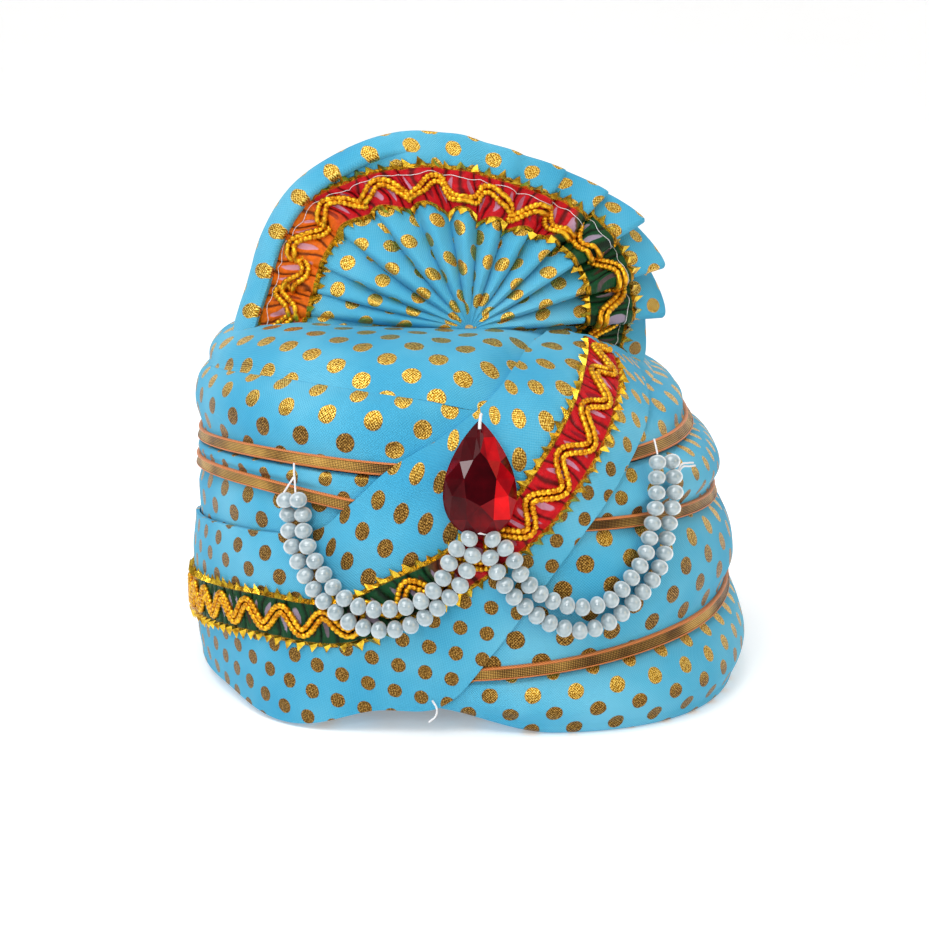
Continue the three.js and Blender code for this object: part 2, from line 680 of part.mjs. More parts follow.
function strandPath(route, under) {
  const flat = new THREE.SplineCurve(route.map(unrolled));
  const steps = 40;
  const lifts = evenShares(steps).map((share) => {
    const place = flat.getPointAt(share);
    return restingLift(place.x / UNROLL_RADIUS / DEG, place.y, under);
  });
  const eased = lifts.map((_, i) => Math.max(...lifts.slice(Math.max(0, i - 1), i + 2)));
  const points = eased.map((lift, i) => {
    const place = flat.getPointAt(i / steps);
    return onCap(place.x / UNROLL_RADIUS / DEG, place.y, lift);
  });
  return new THREE.CatmullRomCurve3(points);
}

function pearlStrand(name, route, under) {
  const path = strandPath(route, under);
  const count = Math.round(path.getLength() / PEARL_PITCH);
  const rings = [{ share: 0, radius: THREAD_RADIUS }];
  for (let bead = 0; bead < count; bead += 1) {
    rings.push({ share: (bead + 0.26) / count, radius: PEARL / 2 });
    rings.push({ share: (bead + 0.74) / count, radius: PEARL / 2 });
    rings.push({ share: (bead + 1) / count, radius: THREAD_RADIUS });
  }
  const points = [];
  const triangles = [];
  rings.forEach(({ share, radius }) => {
    const middle = path.getPointAt(share);
    const ahead = path.getTangentAt(share);
    const side = new THREE.Vector3(middle.x, middle.y, 0).normalize().cross(ahead).normalize();
    const out = ahead.clone().cross(side);
    for (let i = 0; i < PEARL_SIDES; i += 1) {
      const turn = (2 * Math.PI * i) / PEARL_SIDES;
      const point = middle.clone().addScaledVector(side, radius * Math.cos(turn));
      points.push(point.addScaledVector(out, radius * Math.sin(turn)));
    }
  });
  for (let ring = 0; ring + 1 < rings.length; ring += 1) {
    for (let i = 0; i < PEARL_SIDES; i += 1) {
      const a = ring * PEARL_SIDES;
      const next = (i + 1) % PEARL_SIDES;
      addQuad(triangles, a + i, a + next, a + PEARL_SIDES + next, a + PEARL_SIDES + i);
    }
  }
  const end = (rings.length - 1) * PEARL_SIDES;
  for (let i = 1; i + 1 < PEARL_SIDES; i += 1) {
    triangles.push([0, i + 1, i], [end, end + i, end + i + 1]);
  }
  return closedMesh(name, "pearl", points, triangles);
}

const turban = new THREE.Group();
turban.name = "turban";

const rolls = ROLLS.map((roll, index) =>
  ringMesh(roll.name, "cloth", ROLL_STEPS, (angle) => rollProfile(index, angle)),
);
const cover = [sash(), sashLace()];
const ribbons = RIBBON_NAMES.map((_, index) => ribbon(index));
turban.add(...rolls, crown(), ...cover, ...ribbons);

const clearance = capClearance();
turban.add(
  trimmed(fanStrip("fan", "cloth", FAN_ROWS, -FAN_THICK, FAN_THICK), "cloth", clearance),
  trimmed(fanStrip("fan_lace", "lace", FAN_LACE_ROWS, FAN_LACE_GAP, FAN_LACE_THICK), "lace", clearance),
);

const teardrop = stone();
turban.add(teardrop);
turban.updateMatrixWorld(true);
const under = [...rolls, ...cover, ...ribbons];
for (const [name, route] of Object.entries(STRANDS)) turban.add(pearlStrand(name, route, under));
turban.position.set(AXIS.x, AXIS.y, 0);

export default turban;
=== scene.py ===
"""Looks of the tied turban: wound cloth, sash, pleated fan, lace, gilt ribbons, cut stone and pearls.

Places on the cap are given as in the part's source: angle in degrees round the head from the front,
positive towards +X; girth in mm up the cloth from the rim; lift in mm outwards from the core surface.
"""
import math

import bmesh
import bpy
import numpy as np
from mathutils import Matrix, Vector


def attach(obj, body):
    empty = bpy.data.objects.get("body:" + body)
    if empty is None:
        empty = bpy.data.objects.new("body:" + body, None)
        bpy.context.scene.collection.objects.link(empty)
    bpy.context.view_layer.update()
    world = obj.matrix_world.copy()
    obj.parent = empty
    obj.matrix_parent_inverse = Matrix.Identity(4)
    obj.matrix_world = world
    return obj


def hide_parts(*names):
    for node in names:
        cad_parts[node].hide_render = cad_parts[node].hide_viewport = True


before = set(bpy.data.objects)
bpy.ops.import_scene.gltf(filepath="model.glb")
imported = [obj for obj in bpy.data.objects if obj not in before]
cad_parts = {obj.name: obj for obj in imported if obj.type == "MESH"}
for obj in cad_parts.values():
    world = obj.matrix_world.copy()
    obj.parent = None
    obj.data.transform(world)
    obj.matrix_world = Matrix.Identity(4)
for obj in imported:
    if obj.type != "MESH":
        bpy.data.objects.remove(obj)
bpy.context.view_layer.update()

MM = 0.001
AXIS = np.array([-0.25, 4.44, 0.0])

# Sections of the core surface: girth, height, and reach to the left, front, right and back
SECTIONS = np.array([
    [0, 0, 80.5, 92, 83, 90],
    [20, 20, 81, 92.5, 80.5, 91],
    [46, 46, 81.5, 92.5, 76.5, 91],
    [66, 65, 81.2, 91.5, 71.5, 88],
    [80, 78, 79.5, 88, 64.5, 83],
    [92, 88, 76.8, 80, 54.5, 75],
    [104, 95.5, 71.5, 67, 44, 64],
    [119, 101, 55, 50, 34.5, 48],
    [139, 104, 30, 28, 21, 28],
    [167, 105, 0, 0, 0, 0],
], float)
APEX_GIRTH = 167.0
SQUARENESS = 2.4
LEVEL_GIRTH = 40.0
LEANING_GIRTH = 90.0
# Lobes of the rim: angle, half width, reach, and the girth where each ends
RIM_LOBES = [(33, 42, 6.5, 32), (-29, 22, 4, 22)]
# Arches in the rim: angle, half width and rise
RIM_ARCHES = [(-9, 24, 7), (-64, 28, 2.6)]

# Rolls from the rim up: girth of the top edge at the six edge angles, swell left and right, wall
EDGE_ANGLES = np.array([-180, -90, -40, 0, 40, 90], float)
ROLLS = {
    "bottom_roll": ([20, 19, 16, 15, 21.5, 24.5], 0.8, 3.6, 13),
    "lower_wrap": ([54, 60, 65, 58, 54.5, 51], 1.2, 3.4, 13),
    "middle_wrap": ([70, 69, 73.8, 72, 74, 73.5], 0.6, 4.0, 12),
    "upper_wrap": ([93, 95, 98, 93, 92.5, 91], 2.2, 2.4, 10),
}
ROLL_NAMES = list(ROLLS)
TOP_ROLL = len(ROLLS) - 1
ROLL_DRIFT = (1.0, 0.0, 0.0, 0.0)  # how far a roll's rows of dots follow its top edge
SEAM = 0.15  # half of the gap between two rolls
HEM = 4.4
RIM_ROUND = 3.0
HEM_ROUND = (1.6, 0.9)  # depth and height of a roll's rounded lower edge
ROLL_TUCK = np.array([[-1.2, -3.0]])  # lift of the two rows turned in at a roll's top
ROLL_COLUMNS = 360
CROWN_PROUD = 0.8
CROWN_WALL = 6.0
CROWN_OVERLAP = 1.2
CROWN_SLACK = 0.35
# How far the crown swells at each angle
CROWN_PUFF = np.array([
    [-180, 0.5], [-140, 1.0], [-90, 3.8], [-50, 4.8], [-15, 4.8], [25, 3.2], [70, 0.5], [180, 0.5],
])

# Ribs of the sash: angle and girth on its lower edge, then on its upper edge
SASH_RIBS = np.array([
    [-172, 1.5, -172, 6],
    [-140, 1.5, -140, 26],
    [-90, 3.4, -90, 43],
    [-52, 4, -52, 51],
    [-30, 1, -28, 55],
    [-16, 6.5, -20, 64],
    [-4, 8.5, -13, 75],
    [6, 27, -3, 85],
    [20, 57, 5, 95],
    [33, 77.5, 12, 106],
    [50, 90, 20, 116],
    [66, 97, 33, 123],
], float)
SASH_TOP = 2.5
SASH_EDGE_TOP = 1.5
SASH_UNDER = 0.4
SASH_PRESS = 0.8
SASH_RUN = 260.0  # nominal length of the sash, where its dots have their true spacing
SASH_CLOSING = 0.0023  # how much closer the dots lie for each mm before that
SASH_CLOSEST = 0.8
SASH_ROWS = 64
CUT_ANGLE = 125  # where the unrolled cap is cut open
UNROLL = math.radians(88.0)  # mm round the head for each degree, at a mean radius

# Lace on the sash: angle and girth of its middle line
LACE_PATH = np.array([
    [-128, 12], [-90, 19], [-60, 26], [-38, 29.8], [-21, 30.8], [-11, 39],
    [-2, 46.8], [9.2, 61], [16, 74.4], [22, 84.6], [29, 94], [38, 102], [43.5, 106.6],
], float)
LACE_HALF = 6.6
LACE_LIFT = 0.3
LOOP_PITCH = 4.1
GIMP_RADIUS = 0.92
GIMP_PITCH = 1.3
GIMP_RINGS = 5
FOIL_PITCH = 3.4
FOIL_INSET = 1.3
STITCH_RADIUS = 0.085
STITCH_STEPS = 900
THREAD_STEPS = 40

RIBBON_WIDTH = 3.7
RIBBON_START = 0.25
RIBBON_LIFT = 0.25
RIBBON_UNDER = 0.05
# Shares across a ribbon, and its relief there: a piped cord along each edge of a flat mesh
RIBBON_ACROSS = np.array([0, 0.04, 0.10, 0.17, 0.23, 0.3, 0.5, 0.7, 0.77, 0.83, 0.90, 0.96, 1.0])
RIBBON_RELIEF = np.array([0.15, 0.62, 0.85, 0.8, 0.55, 0.5, 0.52, 0.5, 0.55, 0.8, 0.85, 0.62, 0.15])

# Ridges of the fan from left to right: angle from upright, reach, depth by the gather, at the lace and
# at the rim, how far a valley hides behind its ridge, in degrees, and how far out the lace lies, as a
# share of the reach
FAN_COLUMNS = ["angle", "reach", "inner", "lace", "rim", "hide", "out"]
FAN_FOLDS = np.array([
    [-99, 73.0, 1.4, 0.8, 0.4, -2.0, 0.08],
    [-84, 68.4, 1.6, 0.8, 0.4, -3.0, 0.09],
    [-76, 67.0, 1.8, 0.8, 0.4, -3.0, 0.095],
    [-66, 67.2, 2.2, 0.9, 0.4, -3.5, 0.10],
    [-52, 66.6, 2.4, 1.0, 0.4, -3.5, 0.09],
    [-37, 63.4, 2.4, 1.0, 0.4, -3.0, 0.05],
    [-20, 60.0, 2.4, 0.9, 0.4, -1.5, 0.01],
    [-3, 55.6, 2.4, 0.9, 0.4, 0.0, 0.0],
    [14, 52.6, 2.4, 0.9, 0.4, 1.5, 0.0],
    [30, 53.6, 2.4, 1.1, 0.6, 3.0, 0.0],
    [45, 57.0, 2.6, 2.4, 2.0, 5.5, 0.0],
    [58, 61.0, 2.8, 4.0, 4.0, 8.5, 0.0],
    [72, 61.5, 2.8, 4.4, 4.4, 8.5, 0.0],
    [86, 59.0, 2.6, 4.2, 4.2, 8.0, 0.0],
    [102, 53.0, 2.0, 2.4, 2.4, 3.0, 0.0],
], float)
FAN_GATHER = (1.0, 130.0, 1.2)  # angle, girth and lift
FAN_LEAN = 8.0
FAN_SWEEP = (19.0, 30.0)  # to the left and to the right
FAN_THICK = 1.6
FAN_FLAP = 4.2
FAN_LACE_MIDDLE = 0.695
FAN_LACE_HALF = 7.6
FAN_LACE_LIFT = 0.15
FAN_RIDGES = np.arange(len(FAN_FOLDS))
FAN_LAST = len(FAN_FOLDS) - 1
PETAL_COLUMNS = 28

# Stone
STONE_PLACE = (2.0, 72.8, 4.6)
STONE_SIZE = (19.6, 31.0, 6.5)
STONE_GIRDLE = 1.4
STONE_SIDES = 16
STONE_TAPER = 0.8
STONE_WIDEST = 0.8
GIRDLE_STEPS = 5

# Pearl strands: angle and girth along each, from below the stone outwards
PEARL = 4.95
PEARL_PITCH = 4.3
PEARL_RINGS = 14
PEARL_SIDES = 20
PEARL_NECK = 0.4
STRANDS = {
    "pearl_strand_left_upper": [
        [1.3, 58.6], [-2, 53.4], [-4.2, 45.2], [-7.4, 39.4], [-11.8, 37], [-16.8, 37], [-21, 41.4],
        [-24.4, 48.2], [-26.7, 56.2], [-28, 67],
    ],
    "pearl_strand_left_lower": [
        [1.3, 54.4], [-1.2, 44], [-4.5, 38], [-8.6, 33], [-13.2, 31], [-18, 32.2], [-22.2, 37],
        [-25.8, 43.2], [-28.5, 51.2], [-30, 59.4], [-30.2, 66.6],
    ],
    "pearl_strand_right_upper": [
        [3, 58.2], [6.6, 53], [8.8, 45.5], [12.6, 39.4], [17.5, 36.4], [22.4, 37.4], [26, 42],
        [29.6, 48.6], [31.8, 56.4], [32.8, 64.2], [33.9, 74],
    ],
    "pearl_strand_right_lower": [
        [3, 53.6], [6.2, 43], [9.8, 36.4], [14, 31.6], [18.8, 29.8], [23.4, 32.2], [27.8, 37.4],
        [31.8, 43.6], [34.4, 50.5], [35.8, 58.5], [36.9, 66], [37.1, 73.4],
    ],
}

# Gold dots, in rows: for each cloth the rows' lean in degrees, the step along a row and up to the next
# row but one, and the place of one dot, all in mm of cloth; every other row is moved on by half a step
DOT_RADIUS = 0.272
DOT_BLUR = 0.014
THREAD_PITCH = 0.8
DOT_ROWS = {
    "bottom_roll": (-1.9, 11.6, 10.5, 52.5, -5.4),
    "lower_wrap": (2.2, 13.4, 13.0, 52.7, 41.2),
    "middle_wrap": (3.0, 10.4, 10.9, 80.2, 71.8),
    "upper_wrap": (-4.2, 13.4, 12.1, -52.3, 88.5),
    "crown": (2.9, 14.5, 14.1, -29.5, 61.9),
    "sash": (-2.2, 13.3, 13.0, 6.4, 6.6),
    "sash_foot": (33.5, 9.9, 10.9, -26.7, 14.6),
    "fan": (0.0, 12.4, 11.4, -5.0, 4.5),
}


# SHAPES

def smooth_step(low, high, x):
    """0 up to low, 1 from high on, and the cubic 3tt - 2ttt between them."""
    t = np.clip((x - low) / (high - low), 0.0, 1.0)
    return t * t * (3.0 - 2.0 * t)


def mix(a, b, t):
    """a at t = 0, b at t = 1, and a straight line between them."""
    return a + (b - a) * t


def through(knots, values, at):
    """A cubic between each two rows of a table, whose slope at a row is that of the chord past it."""
    knots = np.asarray(knots, float)
    values = np.asarray(values, float)
    slopes = np.empty_like(values)
    slopes[1:-1] = (values[2:] - values[:-2]) / (knots[2:] - knots[:-2])
    slopes[0] = (values[1] - values[0]) / (knots[1] - knots[0])
    slopes[-1] = (values[-1] - values[-2]) / (knots[-1] - knots[-2])
    i = np.clip(np.searchsorted(knots, at, side="right") - 1, 0, len(knots) - 2)
    span = knots[i + 1] - knots[i]
    t = (at - knots[i]) / span
    return (
        (2 * t**3 - 3 * t**2 + 1) * values[i]
        + (t**3 - 2 * t**2 + t) * span * slopes[i]
        + (3 * t**2 - 2 * t**3) * values[i + 1]
        + (t**3 - t**2) * span * slopes[i + 1]
    )


def hump(angle, middle, half):
    """1 at the middle and 0 from half the width away, as half a cosine wave."""
    away = np.minimum(np.abs(angle - middle) / half, 1.0)
    return (1.0 + np.cos(np.pi * away)) / 2.0


def unit(v):
    """Each vector divided by its length."""
    return v / np.maximum(np.linalg.norm(v, axis=-1, keepdims=True), 1e-12)


def alike(*values):
    """The values as arrays of numbers that share one shape."""
    return np.broadcast_arrays(*(np.asarray(value, float) for value in values))


def run_along(points, axis=0):
    """Length along lines of points: the steps between them added up, from nil at the first point."""
    step = np.linalg.norm(np.diff(points, axis=axis), axis=-1)
    return np.insert(np.cumsum(step, axis), 0, 0.0, axis)


def by_row(table, at):
    """A smooth curve through the rows of a table, where a whole number is a row."""
    table = np.asarray(table, float)
    return np.stack([through(np.arange(len(table)), column, at) for column in table.T], -1)


def two_sided(face, back):
    """A closed strip's columns: its face, its back the other way, and its first edge again."""
    return np.concatenate([face, back[:, ::-1], face[:, :1]], 1)


def core(angle, girth):
    """A superellipse in plan at each girth, with the four reaches there and the rim's lobes added."""
    angle, girth = alike(angle, girth)
    height, left, front, right, back = (through(SECTIONS[:, 0], row, girth) for row in SECTIONS.T[1:])
    s = np.sin(np.radians(angle))
    c = np.cos(np.radians(angle))
    across = np.maximum(np.where(s < 0, left, right), 1e-4)
    along = np.maximum(np.where(c > 0, front, back), 1e-4)
    reach = (np.abs(s / across) ** SQUARENESS + np.abs(c / along) ** SQUARENESS) ** (-1 / SQUARENESS)
    for middle, half, size, end in RIM_LOBES:
        reach = reach + size * hump(angle, middle, half) * smooth_step(end, 0.0, girth)
    return np.stack([reach * s, -reach * c, height], -1)


def outwards(angle, girth):
    """The core surface's normal from differences both ways, turned level towards the rim."""
    turn = core(angle + 0.1, girth) - core(angle - 0.1, girth)
    rise = core(angle, girth + 0.1) - core(angle, girth - 0.1)
    normal = unit(np.cross(turn, rise))
    girth = np.broadcast_to(girth, normal.shape[:-1])
    normal[..., 2] *= smooth_step(LEVEL_GIRTH, LEANING_GIRTH, girth)
    return unit(normal)


def on_cap(angle, girth, lift):
    """The core surface moved out by the lift."""
    angle, girth, lift = alike(angle, girth, lift)
    return core(angle, girth) + outwards(angle, girth) * lift[..., None]


def edge_girth(index, angle):
    """Girth of a roll's top edge: a smooth closed curve through its six values."""
    knots = np.concatenate([EDGE_ANGLES - 360, EDGE_ANGLES, EDGE_ANGLES + 360])
    values = np.tile(ROLLS[ROLL_NAMES[index]][0], 3)
    return through(knots, values, (angle + 180.0) % 360.0 - 180.0)


def sash_edges(share):
    """Angle and girth of the sash's lower and upper edges at a share of its length."""
    return np.moveaxis(by_row(SASH_RIBS, share * (len(SASH_RIBS) - 1)), -1, 0)


def sash_outline():
    """The sash's outline on the unrolled cap: out along its lower edge and back along its upper one."""
    share = np.linspace(0, 1, 73)
    low_angle, low_girth, high_angle, high_girth = sash_edges(share)
    low = np.stack([low_angle * UNROLL, low_girth], -1)
    high = np.stack([high_angle * UNROLL, high_girth], -1)
    return np.concatenate([low, high[::-1]])


SASH_OUTLINE = sash_outline()


def from_sash(angle, girth):
    """Distance on the unrolled cap to the nearest edge of the sash, negative inside it. The cap is cut
    open on the right, where the sash is far away."""
    angle, girth = alike(angle, girth)
    angle = np.where(angle > CUT_ANGLE, angle - 360, angle)
    place = np.stack([angle * UNROLL, girth], -1).reshape(-1, 1, 2)
    a = SASH_OUTLINE
    b = np.roll(a, -1, axis=0)
    edge = b - a
    t = np.clip(((place - a) * edge).sum(-1) / np.maximum((edge**2).sum(-1), 1e-9), 0, 1)
    nearest = np.linalg.norm(place - a - t[..., None] * edge, axis=-1).min(-1)
    crosses = (a[:, 1] > place[..., 1]) != (b[:, 1] > place[..., 1])
    rise = np.where(np.abs(edge[:, 1]) < 1e-9, 1e-9, edge[:, 1])
    meets = a[:, 0] + (place[..., 1] - a[:, 1]) / rise * edge[:, 0]
    inside = (crosses & (place[..., 0] < meets)).sum(-1) % 2 == 1
    return np.where(inside, -nearest, nearest).reshape(angle.shape)


def arc_round(girth, angle):
    """Length round the core at one girth, from the front to each angle."""
    turn = np.linspace(-200, 200, 1601)
    length = run_along(core(turn, girth))
    return np.interp(angle, turn, length) - np.interp(0.0, turn, length)


def dots(cloth, u, v):
    """Cloth coordinates in mm turned into those of the dots' rows, where every whole pair is a dot."""
    lean, along, up, dot_u, dot_v = DOT_ROWS[cloth]
    c = math.cos(math.radians(lean))
    s = math.sin(math.radians(lean))
    x = (c * (u - dot_u) + s * (v - dot_v)) / along
    y = (c * (v - dot_v) - s * (u - dot_u)) / up
    return np.stack([y + x, y - x], -1)


def wave(u, v, length, turn, phase):
    """A sine wave across the cloth with crests at the given turn."""
    along = u * math.cos(math.radians(turn)) + v * math.sin(math.radians(turn))
    return np.sin(2 * np.pi * along / length + phase)


def ripple(angle, girth):
    """Low slack in the cloth: three sine waves of unlike length and turn, which die out at the back and
    at the top."""
    u = angle * UNROLL
    waves = 0.5 * wave(u, girth, 47, 20, 0.4)
    waves = waves + 0.3 * wave(u, girth, 29, -35, 1.9)
    waves = waves + 0.2 * wave(u, girth, 17, 70, 3.1)
    return waves * smooth_step(180, 150, np.abs(angle)) * smooth_step(APEX_GIRTH, 130, girth)


def roll_edges(index, angle):
    """Girth of a roll's two edges: the rim's arches or the roll below it, and its own top."""
    if index == 0:
        low = sum(rise * hump(angle, middle, half) for middle, half, rise in RIM_ARCHES)
    else:
        low = edge_girth(index - 1, angle) + SEAM
    return low, edge_girth(index, angle) - SEAM


def crown_puff(angle, share):
    """How far the crown swells: its amount at each angle, a part of it at the edge and nil at the
    gather."""
    profile = through([0, 0.12, 0.3, 0.55, 0.8, 1], [0.55, 0.9, 1, 0.68, 0.25, 0], share)
    return np.interp(angle, *CROWN_PUFF.T) * profile


def face_lift(index, angle, girth):
    """Lift of a roll's visible face: nil on its hem, then a swelling that dies out at its top and by the
    sash. The uppermost roll stands up to the crown's edge, and the others are tucked under the next."""
    _, left, right, _ = ROLLS[ROLL_NAMES[index]]
    low, high = roll_edges(index, angle)
    hem = RIM_ROUND if index == 0 else np.minimum(HEM, 0.55 * (high - low))
    share = np.clip((girth - low - hem) / (high - low - hem), 0, 1)
    side = smooth_step(-60, 60, angle) * smooth_step(180, 110, np.abs(angle))
    swell = mix(left, right, side) * through([0, 0.3, 0.68, 1], [0, 1, 0.85, 0], share)
    away = from_sash(angle, girth)
    slack = 0.3 * ripple(angle, girth) * np.sin(np.pi * share)
    if index == TOP_ROLL:
        top = crown_puff(angle, 0.0) * smooth_step(0, 0.9, share) * smooth_step(0, 12, away)
    else:
        top = -SASH_PRESS * smooth_step(0.86, 1, share)
    return (swell + slack) * smooth_step(1, 17, away) + top - SASH_PRESS * smooth_step(1, -5, away)


def roll_ring(index):
    """One closed profile carried round the head: a rounded lower edge, the face, a tucked top and the
    inner wall."""
    wall = ROLLS[ROLL_NAMES[index]][3]
    angle = np.linspace(-180, 180, ROLL_COLUMNS + 1)[:, None]
    low, high = roll_edges(index, angle)
    depth, round_size = (RIM_ROUND, RIM_ROUND) if index == 0 else HEM_ROUND
    turn = np.linspace(0, np.pi / 2, 7)[None, :]
    lower_girth = low + round_size * (1 - np.cos(turn))
    lower_lift = face_lift(index, angle, lower_girth) - depth * (1 - np.sin(turn))
    share = np.linspace(0, 1, 42)[None, 1:]
    face_girth = mix(low + round_size, high, share)
    face = face_lift(index, angle, face_girth)
    top_lift = face[:, -1:] + ROLL_TUCK
    top_girth = high + np.full_like(ROLL_TUCK, 0.1)
    inner = np.linspace(1, 0, 9)[None, :]
    inner_girth = mix(low, high, inner)
    girth = np.concatenate([lower_girth, face_girth, top_girth, inner_girth, low + 0 * angle], 1)
    inner_lift = np.full_like(inner_girth, -wall)
    lift = np.concatenate([lower_lift, face, top_lift, inner_lift, lower_lift[:, :1]], 1)
    points = on_cap(angle, girth, lift)
    middle = float(np.mean((low + high) / 2))
    u = arc_round(middle, angle) + 0 * girth
    return points, dots(ROLL_NAMES[index], u, girth - ROLL_DRIFT[index] * high)


def crown_lift(angle, girth):
    """The crown rises from a soft crease over the roll below it, swells between there and the gather,
    and is pressed under the sash."""
    low = edge_girth(TOP_ROLL, angle)
    away = from_sash(angle, girth)
    share = np.clip((girth - low) / (FAN_GATHER[1] + 3 - low), 0, 1)
    slack = CROWN_SLACK * ripple(angle, girth) * smooth_step(4, 16, girth - low)
    crease = 0.4 * (1 - smooth_step(-1, 2.6, girth - low))
    free = (CROWN_PROUD + slack - crease) * smooth_step(-1, 8, away)
    return free + crown_puff(angle, share) * smooth_step(0, 12, away) - 0.4 * smooth_step(1, -5, away)


def crown_dome():
    """The upper wrap's edge carried to the apex, turned in at its lower edge, and closed by an inner
    dome."""
    angle = np.linspace(-180, 180, ROLL_COLUMNS + 1)[:, None]
    low = edge_girth(TOP_ROLL, angle) - CROWN_OVERLAP
    share = np.linspace(0, 1, 60)[None, :] ** 1.1
    girth = mix(low, APEX_GIRTH, share)
    lift = crown_lift(angle, girth)
    inner_girth = girth[:, ::-4]
    inner_lift = np.full_like(inner_girth, -CROWN_WALL)
    under = lift[:, :1] - 1.5
    all_girth = np.concatenate([girth, inner_girth, low, girth[:, :1]], 1)
    all_lift = np.concatenate([lift, inner_lift, under, lift[:, :1]], 1)
    points = on_cap(angle, all_girth, all_lift)
    apex = np.array([0, 0, SECTIONS[-1, 1]])
    rows = girth.shape[1]
    points[:, rows - 1] = apex + [0, 0, CROWN_PROUD]
    points[:, rows] = apex - [0, 0, CROWN_WALL]
    run = run_along(points, 1)
    from_apex = np.abs(run - run[:, rows - 1:rows])
    turn = np.radians(angle)
    return points, dots("crown", from_apex * np.sin(turn), from_apex * np.cos(turn))


def sash_top(along, across):
    """Lift of the sash's face: thin at its two edges, full within, with slack folds drawn along it."""
    low_angle, low_girth, high_angle, high_girth = sash_edges(along)
    width = np.hypot((high_angle - low_angle) * UNROLL, high_girth - low_girth)
    inside = np.minimum(across, 1 - across) * width
    body = mix(SASH_EDGE_TOP, SASH_TOP, smooth_step(0, 10, inside))
    u = along * SASH_RUN
    v = across * width
    drag = wave(u, v, 15, 90, 0.6) + wave(u, v, 21, 74, 2.0)
    return body + 0.16 * drag * smooth_step(2, 12, inside)


def sash_place(along, across):
    """Angle and girth at shares along and across the sash."""
    low_angle, low_girth, high_angle, high_girth = sash_edges(along)
    return mix(low_angle, high_angle, across), mix(low_girth, high_girth, across)


def sash_strip():
    """The strip between the sash's edges, its face and its back joined by an edge all round. The rows of
    dots change their lean under the lace, and those above it lie closer together towards the back."""
    along = np.linspace(0, 1, 300)[:, None]
    across = np.linspace(0, 1, SASH_ROWS)[None, :]
    angle, girth = sash_place(along, across)
    face = on_cap(angle, girth, sash_top(along, across))
    back = on_cap(angle, girth, SASH_UNDER)
    middle = SASH_ROWS // 2
    u = run_along(face[:, middle])
    v = run_along(face, 1)
    v = v - v[:, middle:middle + 1]
    flat = np.stack([angle * UNROLL, girth], -1)
    nearest = np.array([np.argmin(((LACE_LINE - row[:, None]) ** 2).sum(-1), 1) for row in flat])
    off = flat - LACE_LINE[nearest]
    ahead = LACE_AHEAD[nearest]
    left_of_lace = ahead[..., 0] * off[..., 1] - ahead[..., 1] * off[..., 0] > 0
    above = left_of_lace | (angle < LACE_PATH[0, 0])
    stretch = np.maximum(1 + SASH_CLOSING * (u - SASH_RUN), SASH_CLOSEST)
    even = np.insert(np.cumsum(np.diff(u) / ((stretch[1:] + stretch[:-1]) / 2)), 0, 0.0)
    even = even - np.interp(SASH_RUN, u, even)
    foot = dots("sash_foot", arc_round(SECTIONS[1, 0], angle), girth)
    body = dots("sash", even[:, None], v / stretch[:, None])
    pattern = np.where(above[..., None], body, foot)
    return two_sided(face, back), two_sided(pattern, pattern)


def fan_column(name, fold):
    """One column of the fan's table at a place between its ridges."""
    return through(FAN_RIDGES, FAN_FOLDS[:, FAN_COLUMNS.index(name)], fold)


def fan_groove(fold, share):
    """0 on a ridge and 1 in a valley: round petals that meet in sharp grooves near the gather, and broad
    pleats further out. Also how far a place is from one ridge to the next, with the valley halfway."""
    i = np.clip(np.floor(fold), 0, FAN_LAST - 1)
    part = fold - i
    middle = fan_column("angle", i + 0.5)
    valley = 0.5 - 0.14 * np.tanh(middle / 25)
    y = np.where(part < valley, part / (2 * valley), 1 - (1 - part) / (2 * (1 - valley)))
    down = 1 - np.abs(2 * y - 1)
    cone = (1 - np.sqrt(1 - (0.99 * down) ** 2)) / (1 - math.sqrt(1 - 0.99**2))
    broad = np.sin(np.pi * y) ** 2
    pleat = smooth_step(0.35, 0.62, share) * mix(0.88, 1.0, smooth_step(20, 50, middle))
    return mix(cone, broad, pleat), y


def fan_point(fold, share, flap):
    """A point of the fan's middle sheet: out from the gather along a leaning plane that sweeps back at
    its ends, with each ridge forward and each valley back by the pleat's depth, and the rim folded over
    on the left into a flap of the given height."""
    fold, share = alike(fold, share)
    groove, y = fan_groove(fold, share)
    inner, lace, rim = (fan_column(name, fold) for name in ("inner", "lace", "rim"))
    depth = mix(1.4 * inner, lace, smooth_step(0.45, 0.62, share))
    depth = mix(depth, rim, smooth_step(0.8, 0.97, share)) * smooth_step(-0.1, 0.3, share)
    nominal = fan_column("angle", fold)
    left = smooth_step(-14, -40, nominal)
    groove = groove * (1 - left * smooth_step(0.78, 0.88, share))
    angle = np.radians(nominal - fan_column("hide", fold) * groove * smooth_step(0.1, 0.4, share))
    reach = fan_column("reach", fold) - 0.9 * rim * groove * smooth_step(0.85, 1.0, share)
    bulge = 0.3 * (1 - (2 * y - 1) ** 2) * (1 - groove)
    raised = flap * left * smooth_step(0.893, 0.912, share)
    raised = raised * (1 - 0.75 * smooth_step(0.955, 1.0, share))
    sideways = np.sin(angle) * reach * share
    upwards = np.cos(angle) * reach * share
    sweep = mix(*FAN_SWEEP, smooth_step(-40, 40, nominal)) * (share * np.sin(angle)) ** 2
    out = depth * (1 - 2 * groove - bulge) + raised - sweep
    c = math.cos(math.radians(FAN_LEAN))
    s = math.sin(math.radians(FAN_LEAN))
    return on_cap(*FAN_GATHER) + np.stack([sideways, upwards * s - out * c, upwards * c + out * s], -1)


